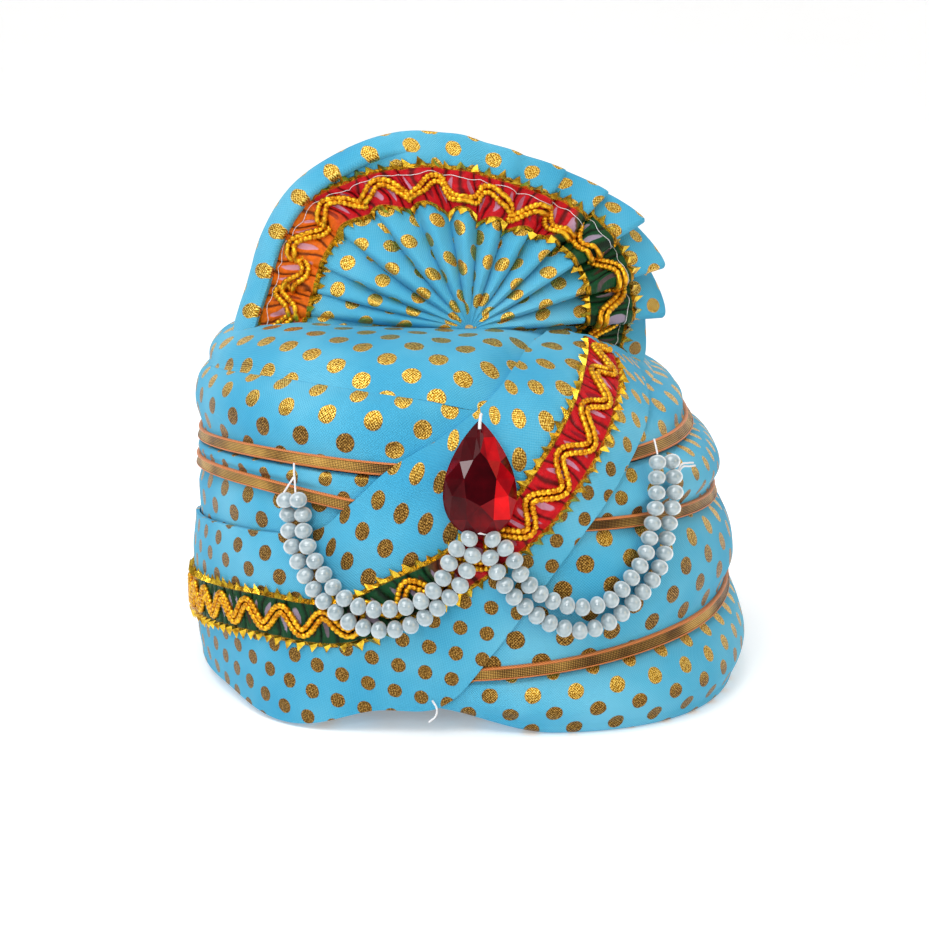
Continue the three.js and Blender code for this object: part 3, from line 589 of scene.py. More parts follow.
def fan_lift(fold, share, lift, flap=FAN_FLAP):
    """The fan's middle sheet moved forward along its own normal by the lift."""
    fold, share, lift = alike(fold, share, lift)
    turn = fan_point(fold + 0.01, share, flap) - fan_point(fold - 0.01, share, flap)
    rise = fan_point(fold, share + 0.004, flap) - fan_point(fold, share - 0.004, flap)
    return fan_point(fold, share, flap) + unit(np.cross(turn, rise)) * lift[..., None]


def fan_sheet():
    """The pleated sheet from gather to rim, front and back, with a rounded rim, as one grid for each
    petal. Its cloth coordinates run from each ridge by true length, so that dots stay round and meet at
    the valleys as folded cloth does."""
    fold = np.linspace(0, FAN_LAST, FAN_LAST * PETAL_COLUMNS + 1)[:, None]
    rim = [0.935, 0.95, 0.965, 0.978, 0.988, 0.995, 0.999, 1.0]
    share = np.concatenate([np.linspace(0.02, 0.88, 52), np.linspace(0.89, 0.92, 7), rim])[None, :]
    half = FAN_THICK / 2 * np.sqrt(np.clip(1 - (np.maximum(share - 0.982, 0) / 0.018) ** 2, 0, 1))
    front = fan_lift(fold, share, half)
    back = fan_lift(fold, share, -half, 0.0)
    points = two_sided(front, back[:, :-1])
    arc = run_along(front)
    rim_arc = arc[:, -len(rim)]
    middle = np.argmin(np.abs(fan_column("angle", fold[:, 0])))
    v = (1 - share) * fan_column("reach", fold)
    petals = []
    for ridge in FAN_RIDGES * PETAL_COLUMNS:
        first = max(ridge - PETAL_COLUMNS // 2, 0)
        last = min(ridge + PETAL_COLUMNS // 2, FAN_LAST * PETAL_COLUMNS) + 1
        u = arc[first:last] - arc[ridge] + rim_arc[ridge] - rim_arc[middle]
        pattern = dots("fan", u, v[first:last])
        petals.append((points[first:last], two_sided(pattern, pattern[:, :-1])))
    return petals


def cloth_lift(angle, girth):
    """Lift of whatever cloth shows at a place on the cap: the sash where it lies, or else the roll's
    face."""
    angle, girth = alike(angle, girth)
    lift = np.zeros(angle.shape)
    for index in range(len(ROLLS)):
        low, high = roll_edges(index, angle)
        lift = np.where((girth >= low) & (girth <= high), face_lift(index, angle, girth), lift)
    away = from_sash(angle, girth)
    sash = mix(SASH_EDGE_TOP, SASH_TOP, smooth_step(0, 10, -away)) + 0.25
    return np.where(away < 0, sash, lift)


def unrolled(route, steps):
    """A smooth route through pairs of angle and girth, as places on the unrolled cap."""
    return by_row(np.asarray(route) * [UNROLL, 1.0], np.linspace(0, len(route) - 1, steps))


# The middle line of the sash's lace on the unrolled cap, its direction, and the length along it
LACE_LINE = unrolled(LACE_PATH, 1200)
LACE_AHEAD = unit(np.gradient(LACE_LINE, axis=0))
LACE_LENGTHS = run_along(LACE_LINE)
SASH_LACE_LENGTH = float(LACE_LENGTHS[-1])


def on_sash_lace(u, a, lift):
    """A place on the sash's lace: u along its middle line, a across it, lift over the sash."""
    u, a, lift = alike(u, a, lift)
    line = [np.interp(u, LACE_LENGTHS, LACE_LINE[:, k]) for k in (0, 1)]
    ahead = [np.interp(u, LACE_LENGTHS, LACE_AHEAD[:, k]) for k in (0, 1)]
    angle = (line[0] - ahead[1] * a) / UNROLL
    girth = line[1] + ahead[0] * a
    return on_cap(angle, girth, SASH_TOP + LACE_LIFT + lift)


def fan_lace_middle(fold):
    """Share of the fan's reach where its lace's middle line runs."""
    return FAN_LACE_MIDDLE + fan_column("out", fold)


# Places between the fan's ridges, and the length along its lace's middle line there
FAN_LACE_FOLDS = np.linspace(0, FAN_LAST, 2400)
FAN_LACE_LENGTHS = run_along(fan_point(FAN_LACE_FOLDS, fan_lace_middle(FAN_LACE_FOLDS), 0.0))
FAN_LACE_LENGTH = float(FAN_LACE_LENGTHS[-1])


def on_fan_lace(u, a, lift):
    """A place on the fan's lace: u along its middle line, a outwards from it, lift over the fan's front.
    Its outer edge is tucked under the flap."""
    u, a, lift = alike(u, a, lift)
    fold = np.interp(u, FAN_LACE_LENGTHS, FAN_LACE_FOLDS)
    ridge = np.cos(np.pi * fold) ** 2 * smooth_step(62, 40, np.abs(fan_column("angle", fold)))
    scallop = 0.05 * ridge * smooth_step(0.3 * FAN_LACE_HALF, -FAN_LACE_HALF, a)
    share = fan_lace_middle(fold) + a / fan_column("reach", fold) + scallop
    return fan_lift(fold, share, FAN_THICK / 2 + FAN_LACE_LIFT + lift, 0.0)


def sash_lace_share(angle):
    """Share of the sash lace's length at an angle round the head."""
    return float(np.interp(angle * UNROLL, LACE_LINE[:, 0], LACE_LENGTHS)) / SASH_LACE_LENGTH


def fan_lace_share(angle):
    """Share of the fan lace's length at an angle from upright."""
    fold = np.interp(angle, FAN_FOLDS[:, 0], FAN_RIDGES)
    return float(np.interp(fold, FAN_LACE_FOLDS, FAN_LACE_LENGTHS)) / FAN_LACE_LENGTH


def lace_wander(u, a):
    """Length along the strip as its loops see it: they lean to and fro and vary in width."""
    return u + 0.7 * np.sin(0.42 * a + 1.4 * np.sin(0.23 * u)) + 0.45 * np.sin(0.71 * u + 0.3 * a)


def lace_loops(u, a, half):
    """Raised loops set crosswise: half an ellipse along the strip, with an oval hollow in the loop's
    middle, and nil at the strip's edges."""
    x = (lace_wander(u, a) / LOOP_PITCH) % 1.0 - 0.5
    loop = np.sqrt(np.clip(1 - (x / 0.46) ** 2, 0, 1))
    hollow = np.clip(1 - (x / 0.17) ** 2 - (a / (0.68 * half)) ** 2, 0, 1)
    edge = np.sqrt(np.clip(1 - (np.abs(a) / (half - 0.8)) ** 4, 0, 1))
    return (loop - 0.8 * np.sqrt(hollow)) * edge


def lace_strip(place, start, end, half):
    """The woven strip: a row of raised loops over a thin ground, with a low cord along each edge."""
    u = np.linspace(start, end, int((end - start) / 0.3))[:, None]
    a = half * np.linspace(-1, 1, 27)[None, :]
    cord = np.exp(-(((np.abs(a) - half + 0.7) / 0.5) ** 2))
    relief = 0.2 + 0.8 * lace_loops(u, a, half) + 0.5 * cord
    flat = np.stack(np.broadcast_arrays(lace_wander(u, a), a), -1)
    return two_sided(place(u, a, relief), place(u, a, 0 * relief - 0.05)), two_sided(flat, flat)


def gimp_cord(place, start, end, side, first_period, last_period, swing, sharpness):
    """A beaded cord: a circle carried along a wave across the lace, whose period grows along it, its
    radius pinched between the beads."""
    steps = 6000
    fine = np.linspace(start, end, steps)
    turns = np.cumsum(1 / np.linspace(first_period, last_period, steps))
    turn = 2 * np.pi * turns * (end - start) / steps
    across = swing * (np.sin(turn) - sharpness * np.sin(3 * turn))
    line = np.stack([fine, across], -1)
    ahead = unit(np.gradient(line, axis=0))
    line = line + side * GIMP_RADIUS * np.stack([-ahead[:, 1], ahead[:, 0]], -1)
    length = run_along(line)
    beads = int(length[-1] / GIMP_PITCH)
    at = np.linspace(0, length[-1], beads * GIMP_RINGS + 1)
    u = np.interp(at, length, line[:, 0])
    a = np.interp(at, length, line[:, 1])
    bead = np.abs(np.sin(np.pi * np.arange(len(at)) / GIMP_RINGS)) ** 0.6
    radius = GIMP_RADIUS * (0.68 + 0.32 * bead)
    return tube(place(u, a, 1.3), place(u, a, 2.3), radius, 8, at)


def stitch_line(place, start, end, across):
    """A fine thread that runs along the lace and wanders a little from side to side."""
    u = np.linspace(start, end, STITCH_STEPS)
    a = across + 0.35 * np.sin(u * 0.9) + 0.25 * np.sin(u * 0.37 + 1.0)
    line = place(u, a, 1.0 + 0.15 * np.sin(u * 1.7))
    return tube(line, place(u, a, 2.5), np.full(STITCH_STEPS, STITCH_RADIUS), 6, u)


def tube(line, above, radius, sides, at):
    """A circle carried along a line, upright towards the points above it, and closed to a point at both
    ends."""
    ahead = unit(np.gradient(line, axis=0))
    side = unit(np.cross(ahead, above - line))
    up = np.cross(side, ahead)
    turn = np.linspace(0, 2 * np.pi, sides + 1)
    radius = np.asarray(radius, float).copy()
    radius[[0, -1]] = 0.0
    spokes = np.cos(turn)[None, :, None] * side[:, None] + np.sin(turn)[None, :, None] * up[:, None]
    points = line[:, None] + radius[:, None, None] * spokes
    round_share = np.broadcast_to(turn / (2 * np.pi), points.shape[:2])
    return points, np.stack([at[:, None] + 0 * round_share, round_share], -1)


def foil_points(place, start, end, half):
    """Folded foil points along both edges: four corners each, a base of two, a raised ridge and a tip."""
    u = np.arange(start + FOIL_PITCH / 2, end - FOIL_PITCH / 2, FOIL_PITCH)
    number = np.arange(len(u))
    corners = []
    for side in (-1, 1):
        lean = 0.7 * np.sin(number * 12.9898 + side)
        wide = 1.75 + 0.25 * np.sin(number * 4.7 + 2 * side)
        reach = half + 1.7 + 0.4 * np.cos(number * 7.3 + side)
        left = place(u - wide, side * (half - FOIL_INSET), 0.4)
        right = place(u + wide, side * (half - FOIL_INSET), 0.4)
        ridge = place(u + lean * 0.6, side * (half - 0.7), 2.0 + 0.4 * lean)
        tip = place(u + lean, side * reach, 0.9 + 0.5 * np.cos(number * 3.1))
        corners.append(np.stack([left, right, ridge, tip], 1))
    points = np.concatenate(corners)
    faces = np.array([[0, 1, 2], [0, 3, 1], [1, 3, 2], [2, 3, 0]])
    return points.reshape(-1, 3), (np.arange(len(points))[:, None, None] * 4 + faces).reshape(-1, 3)


def ribbon_ends(index, across):
    """Angles where a ribbon in a roll's hem meets the sash, by halving the stretch between clear and
    covered."""
    found = []
    for clear, covered in ((90.0, -10.0), (180.0, 355.0)):
        for _ in range(30):
            middle = (clear + covered) / 2
            if from_sash(middle, edge_girth(index, middle) + across) > SEAM:
                clear = middle
            else:
                covered = middle
        found.append(clear)
    return found


def ribbon_strip(index):
    """A woven strip with a piped cord along each edge, carried round the hem from sash to sash."""
    across = RIBBON_WIDTH * RIBBON_ACROSS
    ends = np.array([ribbon_ends(index, RIBBON_START + place) for place in across])
    angle = mix(ends[None, :, 0], ends[None, :, 1], np.linspace(0, 1, 420)[:, None])
    turned = np.where(angle > 180, angle - 360, angle)
    girth = edge_girth(index, turned) + RIBBON_START + across
    lift = face_lift(index + 1, turned, girth)
    face = on_cap(turned, girth, lift + RIBBON_RELIEF + RIBBON_LIFT)
    back = on_cap(turned, girth, lift + RIBBON_UNDER)
    flat = np.stack(np.broadcast_arrays(angle * UNROLL, across), -1)
    return two_sided(face, back), two_sided(flat, flat)


def stone_frame():
    """Where the stone sits: its place, and the directions across, up and out."""
    out = outwards(STONE_PLACE[0], STONE_PLACE[1])
    across = unit(np.cross([0.0, 0.0, 1.0], out))
    return on_cap(*STONE_PLACE), np.stack([across, np.cross(out, across), out])


def stone_ring(size, height, turns):
    """The teardrop outline, sine times a tapered half sine across and cosine along, at one size and
    height."""
    taper = np.sin(turns / 2) ** STONE_TAPER
    width, length, _ = STONE_SIZE
    x = width / 2 * size * np.sin(turns) * taper / STONE_WIDEST
    return np.stack([x, length / 2 * size * np.cos(turns), np.full_like(turns, height)], -1)


def strand_line(route):
    """A strand's middle line: its route by even length, resting on the highest cloth or lace under each
    bead, smoothed by a running mean."""
    flat = unrolled(route, 400)
    length = run_along(flat)
    even = np.linspace(0, length[-1], 120)
    x = np.interp(even, length, flat[:, 0])
    girth = np.interp(even, length, flat[:, 1])
    under = []
    for dx, dy in ((0, 0), (1.6, 0), (-1.6, 0), (0, 1.6), (0, -1.6)):
        lift = cloth_lift((x + dx) / UNROLL, girth + dy)
        gap_round = x[:, None] + dx - LACE_LINE[:, 0]
        gap_up = girth[:, None] + dy - LACE_LINE[:, 1]
        on_lace = np.hypot(gap_round, gap_up).min(1) < LACE_HALF + 1.2
        under.append(np.where(on_lace, SASH_TOP + 1.5, lift))
    lift = np.max(under, 0)
    spread = np.max([np.roll(lift, k) for k in range(-4, 5)], 0)
    smooth = np.convolve(np.pad(spread, 6, mode="edge"), np.ones(13) / 13, "valid")
    return on_cap(x / UNROLL, girth, smooth + PEARL / 2 + 0.1)


def pearl_beads(route):
    """Round beads on one thread: a circle carried along the line, its radius that of a ball over each
    bead."""
    line = strand_line(route)
    length = run_along(line)
    beads = int(round(length[-1] / PEARL_PITCH))
    step = np.arange(beads * PEARL_RINGS + 1)
    turn = np.pi * (step % PEARL_RINGS) / PEARL_RINGS
    pitch = length[-1] / beads
    at = (step // PEARL_RINGS + 0.5 - 0.5 * np.cos(turn)) * pitch
    at[-1] = length[-1]
    middle = np.stack([np.interp(at, length, column) for column in line.T], -1)
    radius = np.maximum(PEARL_NECK, PEARL / 2 * np.sin(turn))
    return tube(middle, middle * [2.0, 2.0, 1.0], radius, PEARL_SIDES, at)


def sheet_sizes():
    """Length and greatest width of the sash, and length of the fan's rim along its pleats with its
    longest reach."""
    along = np.linspace(0, 1, 200)[:, None]
    across = np.linspace(0, 1, 20)[None, :]
    face = on_cap(*sash_place(along, across), SASH_TOP)
    rim = fan_point(np.linspace(0, FAN_LAST, 2000), 1.0, FAN_FLAP)
    return run_along(face).max(), run_along(face, 1).max(), run_along(rim)[-1], FAN_FOLDS[:, 1].max()


SASH_LENGTH, SASH_WIDTH, FAN_RIM_LENGTH, FAN_REACH = (float(size) for size in sheet_sizes())


# PIECES

def grid_quads(columns, rows):
    """The four corners of each face in a grid of points."""
    i, j = np.meshgrid(np.arange(columns - 1), np.arange(rows - 1), indexing="ij")
    after = (i + 1) * rows + j
    return np.stack([i * rows + j, after, after + 1, i * rows + j + 1], -1).reshape(-1, 4)


def place_grids(name, grids, looks):
    """One mesh from grids of points, each with its cloth coordinates and its material's number."""
    places, quads, charts, marks = [], [], [], []
    first = 0
    for points, chart, mark in grids:
        corner = grid_quads(*points.shape[:2])
        places.append(points.reshape(-1, 3))
        quads.append(corner + first)
        charts.append(chart.reshape(-1, 2)[corner].reshape(-1, 2))
        marks.append(np.full(len(corner), mark))
        first += len(places[-1])
    places = (np.concatenate(places) + AXIS) * MM
    quads = np.concatenate(quads)
    mesh = bpy.data.meshes.new(name)
    mesh.vertices.add(len(places))
    mesh.vertices.foreach_set("co", places.astype(np.float32).ravel())
    mesh.loops.add(quads.size)
    mesh.loops.foreach_set("vertex_index", quads.astype(np.int32).ravel())
    mesh.polygons.add(len(quads))
    mesh.polygons.foreach_set("loop_start", np.arange(0, quads.size, 4, dtype=np.int32))
    mesh.polygons.foreach_set("material_index", np.concatenate(marks).astype(np.int32))
    mesh.polygons.foreach_set("use_smooth", np.ones(len(quads), bool))
    chart = mesh.uv_layers.new(name="cloth")
    chart.data.foreach_set("uv", np.concatenate(charts).astype(np.float32).ravel())
    mesh.update()
    return finish_mesh(name, mesh, looks)


def finish_mesh(name, mesh, looks, sharp=60.0):
    """Welds points that fall together, so that rings, ends and poles close, turns the faces outwards,
    keeps sharp edges and makes the mesh a piece on the root body."""
    work = bmesh.new()
    work.from_mesh(mesh)
    bmesh.ops.remove_doubles(work, verts=work.verts, dist=1e-7)
    bmesh.ops.dissolve_degenerate(work, dist=1e-8, edges=work.edges)
    bmesh.ops.recalc_face_normals(work, faces=work.faces)
    work.to_mesh(mesh)
    work.free()
    mesh.set_sharp_from_angle(angle=math.radians(sharp))
    mesh.update()
    piece = bpy.data.objects.new(name, mesh)
    bpy.context.scene.collection.objects.link(piece)
    for look in looks:
        mesh.materials.append(look)
    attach(piece, "root")
    return piece


def place_faces(name, places, faces, looks, tones):
    """One mesh from points and faces, with flat facets that may each keep tones."""
    mesh = bpy.data.meshes.new(name)
    corners = [list(map(int, face)) for face in faces]
    mesh.from_pydata(((places + AXIS) * MM).tolist(), [], corners)
    for key, values in tones.items():
        mesh.attributes.new(key, "FLOAT", "FACE").data.foreach_set("value", values.astype(np.float32))
    return finish_mesh(name, mesh, looks, sharp=1.0)


def end_cap(points, chart, k, rows, shared):
    """One end of a closed strip, filled by a grid between its face and its back, which may share the
    last row."""
    back = points[k, rows - shared:2 * rows - shared][::-1]
    return np.stack([points[k, :rows], back]), np.stack([chart[k, :rows], chart[k, :rows]]), 0


def strip_grids(points, chart):
    """A strip's faces with its two ends closed."""
    rows = points.shape[1] // 2
    return [(points, chart, 0)] + [end_cap(points, chart, k, rows, 0) for k in (0, -1)]


def dress(piece, node):
    """Puts a piece in place of a plain solid, by hiding the solid."""
    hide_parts(node)
    return piece


# FINISHES

class Nodes:
    """A material's nodes, each made and wired in one call."""

    def __init__(self, name):
        self.material = bpy.data.materials.new(name)
        self.material.use_nodes = True
        self.tree = self.material.node_tree
        self.shader = self.tree.nodes["Principled BSDF"]

    def join(self, value, socket):
        """Sets a socket to a number, or links it to a socket or to a node's first output."""
        if value is None:
            return
        if isinstance(value, bpy.types.Node):
            value = value.outputs[0]
        if isinstance(value, bpy.types.NodeSocket):
            self.tree.links.new(value, socket)
        else:
            socket.default_value = value

    def add(self, kind, *inputs, **settings):
        node = self.tree.nodes.new("ShaderNode" + kind)
        for key, value in settings.items():
            setattr(node, key, value)
        for socket, value in zip(node.inputs, inputs):
            self.join(value, socket)
        return node

    def math(self, operation, a, b=None, c=None):
        return self.add("Math", a, b, c, operation=operation)

    def vector(self, operation, a, b=None):
        return self.add("VectorMath", a, b, operation=operation)

    def ease(self, value, low, high, to_low=0.0, to_high=1.0):
        return self.add("MapRange", value, low, high, to_low, to_high, interpolation_type="SMOOTHSTEP")

    def noise(self, place, scale, detail=2.0):
        node = self.add("TexNoise")
        self.join(place, node.inputs["Vector"])
        node.inputs["Scale"].default_value = scale
        node.inputs["Detail"].default_value = detail
        return node

    def blend(self, share, a, b):
        node = self.add("Mix", data_type="RGBA")
        self.join(share, node.inputs[0])
        self.join(a, node.inputs[6])
        self.join(b, node.inputs[7])
        return node.outputs[2]

    def ramp(self, value, stops):
        """Colours as they are seen, each at its place."""
        node = self.add("ValToRGB", value)
        elements = node.color_ramp.elements
        while len(elements) < len(stops):
            elements.new(0.5)
        for element, (at, colour) in zip(elements, stops.items()):
            element.position = at
            element.color = seen(*colour)
        return node

    def chart(self):
        return self.add("UVMap", uv_map="cloth")

    def place(self):
        return self.add("TexCoord").outputs["Object"]

    def split(self, vector):
        node = self.add("SeparateXYZ", vector)
        return node.outputs[0], node.outputs[1]

    def stripes(self, value, often):
        return self.math("SINE", self.math("MULTIPLY", value, often))

    def upwards(self, vector):
        return self.add("SeparateXYZ", vector).outputs[2]

    def bump(self, height, distance, strength, under=None):
        node = self.add("Bump")
        node.inputs["Strength"].default_value = strength
        node.inputs["Distance"].default_value = distance
        self.join(height, node.inputs["Height"])
        self.join(under, node.inputs["Normal"])
        self.join(node, self.shader.inputs["Normal"])
        return node

    def finish(self, **values):
        for key, value in values.items():
            self.join(value, self.shader.inputs[key.replace("_", " ")])
        return self.material


def seen(red, green, blue):
    """A colour as it is seen, 0 to 255, made linear, with full alpha."""
    c = np.array([red, green, blue]) / 255.0
    linear = np.where(c <= 0.04045, c / 12.92, ((c + 0.055) / 1.055) ** 2.4)
    return (*map(float, linear), 1.0)


def dotted_cloth(name):
    """Sky-blue voile with a fine crossed weave and round gold-foil dots, whose foil breaks up over the
    threads. The foil's colour holds painted light: a bright painted reflection where it faces up or lies
    high, and dark painted shade on the upright walls."""
    n = Nodes(name)
    chart = n.chart()
    x, y = n.split(chart)
    half = (0.5, 0.5, 0.0)
    cell = n.vector("SUBTRACT", n.vector("FRACTION", n.vector("ADD", chart, half)), half)
    ragged = n.math("MULTIPLY", n.math("SUBTRACT", n.noise(chart, 5.0), 0.5), 0.05)
    away = n.math("ADD", n.vector("LENGTH", cell).outputs["Value"], ragged)
    dot = n.ease(away, DOT_RADIUS + DOT_BLUR, DOT_RADIUS - DOT_BLUR)
    threads = 2 * math.pi * 6.5 / THREAD_PITCH
    warp = n.stripes(n.math("ADD", x, y), threads)
    weft = n.stripes(n.math("SUBTRACT", x, y), threads)
    weave = n.math("MULTIPLY", warp, weft)
    grain = n.noise(chart, 20.0, 1.0)
    speckle = n.math("MULTIPLY_ADD", weave, 0.16, grain)
    # Painted light on the foil: a bright lit copy and a dark shaded copy, blended by how far it faces up
    # or lies high.
    bright = n.ramp(speckle, {0.32: (120, 78, 12), 0.50: (206, 152, 40), 0.64: (255, 226, 120)})
    painted_shade_foil = n.ramp(speckle, {0.32: (66, 42, 14), 0.52: (118, 84, 34), 0.70: (196, 152, 76)})
    painted_light_facing_up = n.ease(n.upwards(n.add("NewGeometry").outputs["Normal"]), 0.12, 0.6)
    painted_light_high_up = n.ease(n.upwards(n.place()), 0.090, 0.106)
    foil = n.blend(n.math("MAXIMUM", painted_light_facing_up, painted_light_high_up), painted_shade_foil, bright)
    soft = n.noise(n.place(), 30.0, 3.0)
    tone = n.math("MULTIPLY_ADD", weave, 0.12, soft)
    blue = n.ramp(tone, {0.30: (56, 156, 198), 0.50: (76, 170, 206), 0.70: (102, 184, 215)})
    colour = n.blend(dot, blue, foil)
    rough = n.ease(dot, 0.0, 1.0, 0.85, 0.36)
    metal = n.math("MULTIPLY", dot, 0.9)
    slack = n.bump(n.noise(n.place(), 55.0, 2.0), 0.0022, 0.35)
    height = n.math("MULTIPLY_ADD", dot, n.math("MULTIPLY", grain, 1.8), n.math("MULTIPLY", weave, 0.5))
    n.bump(height, 0.00014, 0.7, slack)
    return n.finish(
        Base_Color=colour, Roughness=rough, Metallic=metal, Specular_IOR_Level=0.2, Sheen_Weight=0.06,
        Sheen_Roughness=0.5,
    )


def lace_weave(name, stops, length, half):
    """Satin loops whose colour runs along the strip: dark painted shade between the loops, a pale slit
    down some, gilt edges."""
    n = Nodes(name)
    u, a = n.split(n.chart())
    tint = n.ramp(n.math("DIVIDE", u, length), stops)
    turn = n.math("DIVIDE", u, LOOP_PITCH)
    chance = n.add("TexWhiteNoise", noise_dimensions="1D")
    n.join(n.math("FLOOR", turn), chance.inputs["W"])
    x = n.math("ABSOLUTE", n.math("SUBTRACT", n.math("FRACT", turn), 0.5))
    across = n.math("ABSOLUTE", a)
    fleck = n.noise(n.chart(), 0.8, 3.0)
    # Painted shade: the satin darkens between the raised loops, where they meet.
    loop = n.ease(n.math("MULTIPLY_ADD", fleck, 0.12, x), 0.54, 0.40)
    satin = n.blend(n.ease(fleck, 0.35, 0.65, 0.0, 0.22), tint, (0.02, 0.004, 0.006, 1.0))
    satin = n.blend(loop, n.blend(0.78, tint, (0.004, 0.002, 0.002, 1.0)), satin)
    along = n.math("POWER", n.math("DIVIDE", x, 0.19), 2.0)
    oval = n.math("ADD", along, n.math("POWER", n.math("DIVIDE", a, 0.6 * half), 2.0))
    hollow = n.ease(n.math("MULTIPLY_ADD", fleck, 0.6, oval), 1.35, 0.95)
    often = n.ease(chance.outputs["Value"], 0.15, 0.35)
    pale = n.blend(often, seen(84, 20, 38), seen(196, 172, 204))
    satin = n.blend(n.math("MULTIPLY", hollow, 0.85), satin, n.blend(0.68, tint, pale))
    edge = n.ease(across, half - 1.5, half - 1.0)
    glint = n.noise(n.chart(), 2.2, 1.0)
    gold = n.ramp(glint, {0.35: (66, 42, 4), 0.62: (206, 150, 30)})
    colour = n.blend(edge, satin, gold)
    n.bump(n.noise(n.chart(), 3.0, 2.0), 0.0004, 0.6)
    return n.finish(
        Base_Color=colour, Roughness=n.ease(fleck, 0.3, 0.7, 0.32, 0.55), Specular_IOR_Level=0.18,
        Metallic=n.math("MULTIPLY", edge, 0.8),
    )


def gilt(name, deep, bright, roughness, patch):
    """Gilt thread or foil: gold that runs from deep to bright over small patches."""
    n = Nodes(name)
    colour = n.ramp(n.noise(n.place(), patch, 2.0), {0.35: deep, 0.62: bright})
    n.bump(n.noise(n.place(), 2600.0, 1.0), 0.0002, 0.4)
    return n.finish(Base_Color=colour, Roughness=roughness, Metallic=0.85)


def gilt_ribbon(name):
    """Open gold mesh, dark in its holes, between two orange piped edges."""
    n = Nodes(name)
    u, v = n.split(n.chart())
    threads = 2 * math.pi / 0.9
    one = n.stripes(n.math("ADD", u, v), threads)
    other = n.stripes(n.math("SUBTRACT", u, v), threads)
    cross = n.math("MULTIPLY", one, other)
    shine = n.noise(n.place(), 70.0, 2.0)
    level = n.math("MULTIPLY_ADD", cross, 0.32, shine)
    mesh = n.ramp(level, {0.3: (62, 38, 12), 0.52: (134, 93, 40), 0.75: (222, 178, 92)})
    edge = n.ease(n.math("ABSOLUTE", n.math("SUBTRACT", v, RIBBON_WIDTH / 2)), 1.18, 1.3)
    twist = n.stripes(n.math("ADD", u, n.math("MULTIPLY", v, 2.0)), 2 * math.pi / 0.8)
    twist = n.math("MULTIPLY_ADD", twist, 0.5, 0.5)
    piping = n.ramp(twist, {0.0: (188, 96, 38), 1.0: (236, 146, 74)})
    n.bump(cross, 0.0002, 0.6)
    metal = n.ease(edge, 0.0, 1.0, 0.7, 0.0)
    return n.finish(Base_Color=n.blend(edge, mesh, piping), Roughness=0.42, Metallic=metal)


def cut_glass(name):
    """Deep red glass over foil: its depth of red on each face is painted light, bright painted glints and
    dark painted shade, and one face holds a painted reflection of a grey window.
    """
    n = Nodes(name)
    # The tones of the faces are painted glints and painted shade, and the grey face is a painted
    # reflection.
    red_and_painted_light = n.add("Attribute", attribute_name="red_and_painted_light").outputs["Fac"]
    painted_grey_reflection = n.add("Attribute", attribute_name="painted_grey_reflection").outputs["Fac"]
    cloud = n.math("SUBTRACT", n.noise(n.place(), 190.0, 2.0), 0.5)
    depth = n.math("MULTIPLY_ADD", cloud, 0.5, red_and_painted_light)
    red = n.ramp(depth, {0.0: (22, 0, 3), 0.3: (76, 0, 8), 0.6: (150, 0, 12), 1.0: (240, 8, 18)})
    return n.finish(
        Base_Color=n.blend(painted_grey_reflection, red, seen(138, 120, 122)), Roughness=0.1, Specular_IOR_Level=0.09,
        Coat_Weight=0.08, Coat_Roughness=0.03,
    )


def pearl_shell(name):
    """White pearl: a cloudy grey-white body whose cool blue tint is a painted reflection of the blue
    cloth, paling to a painted rim light, under a glossy coat.
    """
    n = Nodes(name)
    cloud = n.noise(n.place(), 420.0, 2.0)
    # Grey-white body whose cool blue tint is a painted reflection of the blue cloth.
    body = n.ramp(cloud, {0.3: (132, 152, 161), 0.7: (170, 186, 193)})
    # Painted rim light: the colour pales where the surface turns away from the view.
    rim = n.ease(n.add("LayerWeight", 0.5).outputs["Facing"], 0.25, 0.85)
    return n.finish(
        Base_Color=n.blend(rim, body, seen(240, 246, 248)),
        Roughness=n.ease(cloud, 0.3, 0.7, 0.16, 0.26), Specular_IOR_Level=0.6,
        Coat_Weight=1.0, Coat_Roughness=0.03, Coat_IOR=1.8,
    )


def white_thread(name):
    """Twisted cotton thread."""
    n = Nodes(name)
    twist = n.add("TexWave", n.place())
    twist.inputs["Scale"].default_value = 900.0
    colour = n.ramp(twist, {0.2: (206, 206, 212), 0.8: (250, 250, 252)})
    return n.finish(Base_Color=colour, Roughness=0.7, Sheen_Weight=0.2)


# ASSEMBLY

cloth_look = dotted_cloth("dotted_voile")
ribbon_look = gilt_ribbon("gilt_mesh_ribbon")
gimp_look = gilt("gilt_gimp", (190, 114, 4), (250, 194, 44), 0.34, 700.0)
foil_look = gilt("gold_foil", (150, 104, 6), (250, 208, 60), 0.18, 400.0)
pearl_look = pearl_shell("white_pearl")
thread_look = white_thread("white_thread")

ORANGE = (230, 106, 0)
YELLOW = (226, 150, 16)
RED = (196, 4, 22)
GREEN = (0, 70, 36)


def padded_cloth(node, shape):
    """A roll or the crown in place of the plain one."""
    piece = place_grids(node + "_cloth", [(*shape, 0)], [cloth_look])
    dress(piece, node)


def half_area(piece):
    """Half of a thin closed piece's surface, which is the cloth's own area."""
    sizes = np.empty(len(piece.data.polygons))
    piece.data.polygons.foreach_get("area", sizes)
    return float(sizes.sum() / 2)


def sash_cloth():
    """The sash in place of the plain one."""
    piece = place_grids("sash_cloth", strip_grids(*sash_strip()), [cloth_look])
    return dress(piece, "sash")


def fan_cloth():
    """The pleated fan in place of the plain one, closed down its two ends."""
    petals = fan_sheet()
    grids = [(*petal, 0) for petal in petals]
    rows = petals[0][0].shape[1] // 2
    for petal, k in ((petals[0], 0), (petals[-1], -1)):
        grids.append(end_cap(*petal, k, rows, 1))
    return dress(place_grids("fan_cloth", grids, [cloth_look]), "fan")


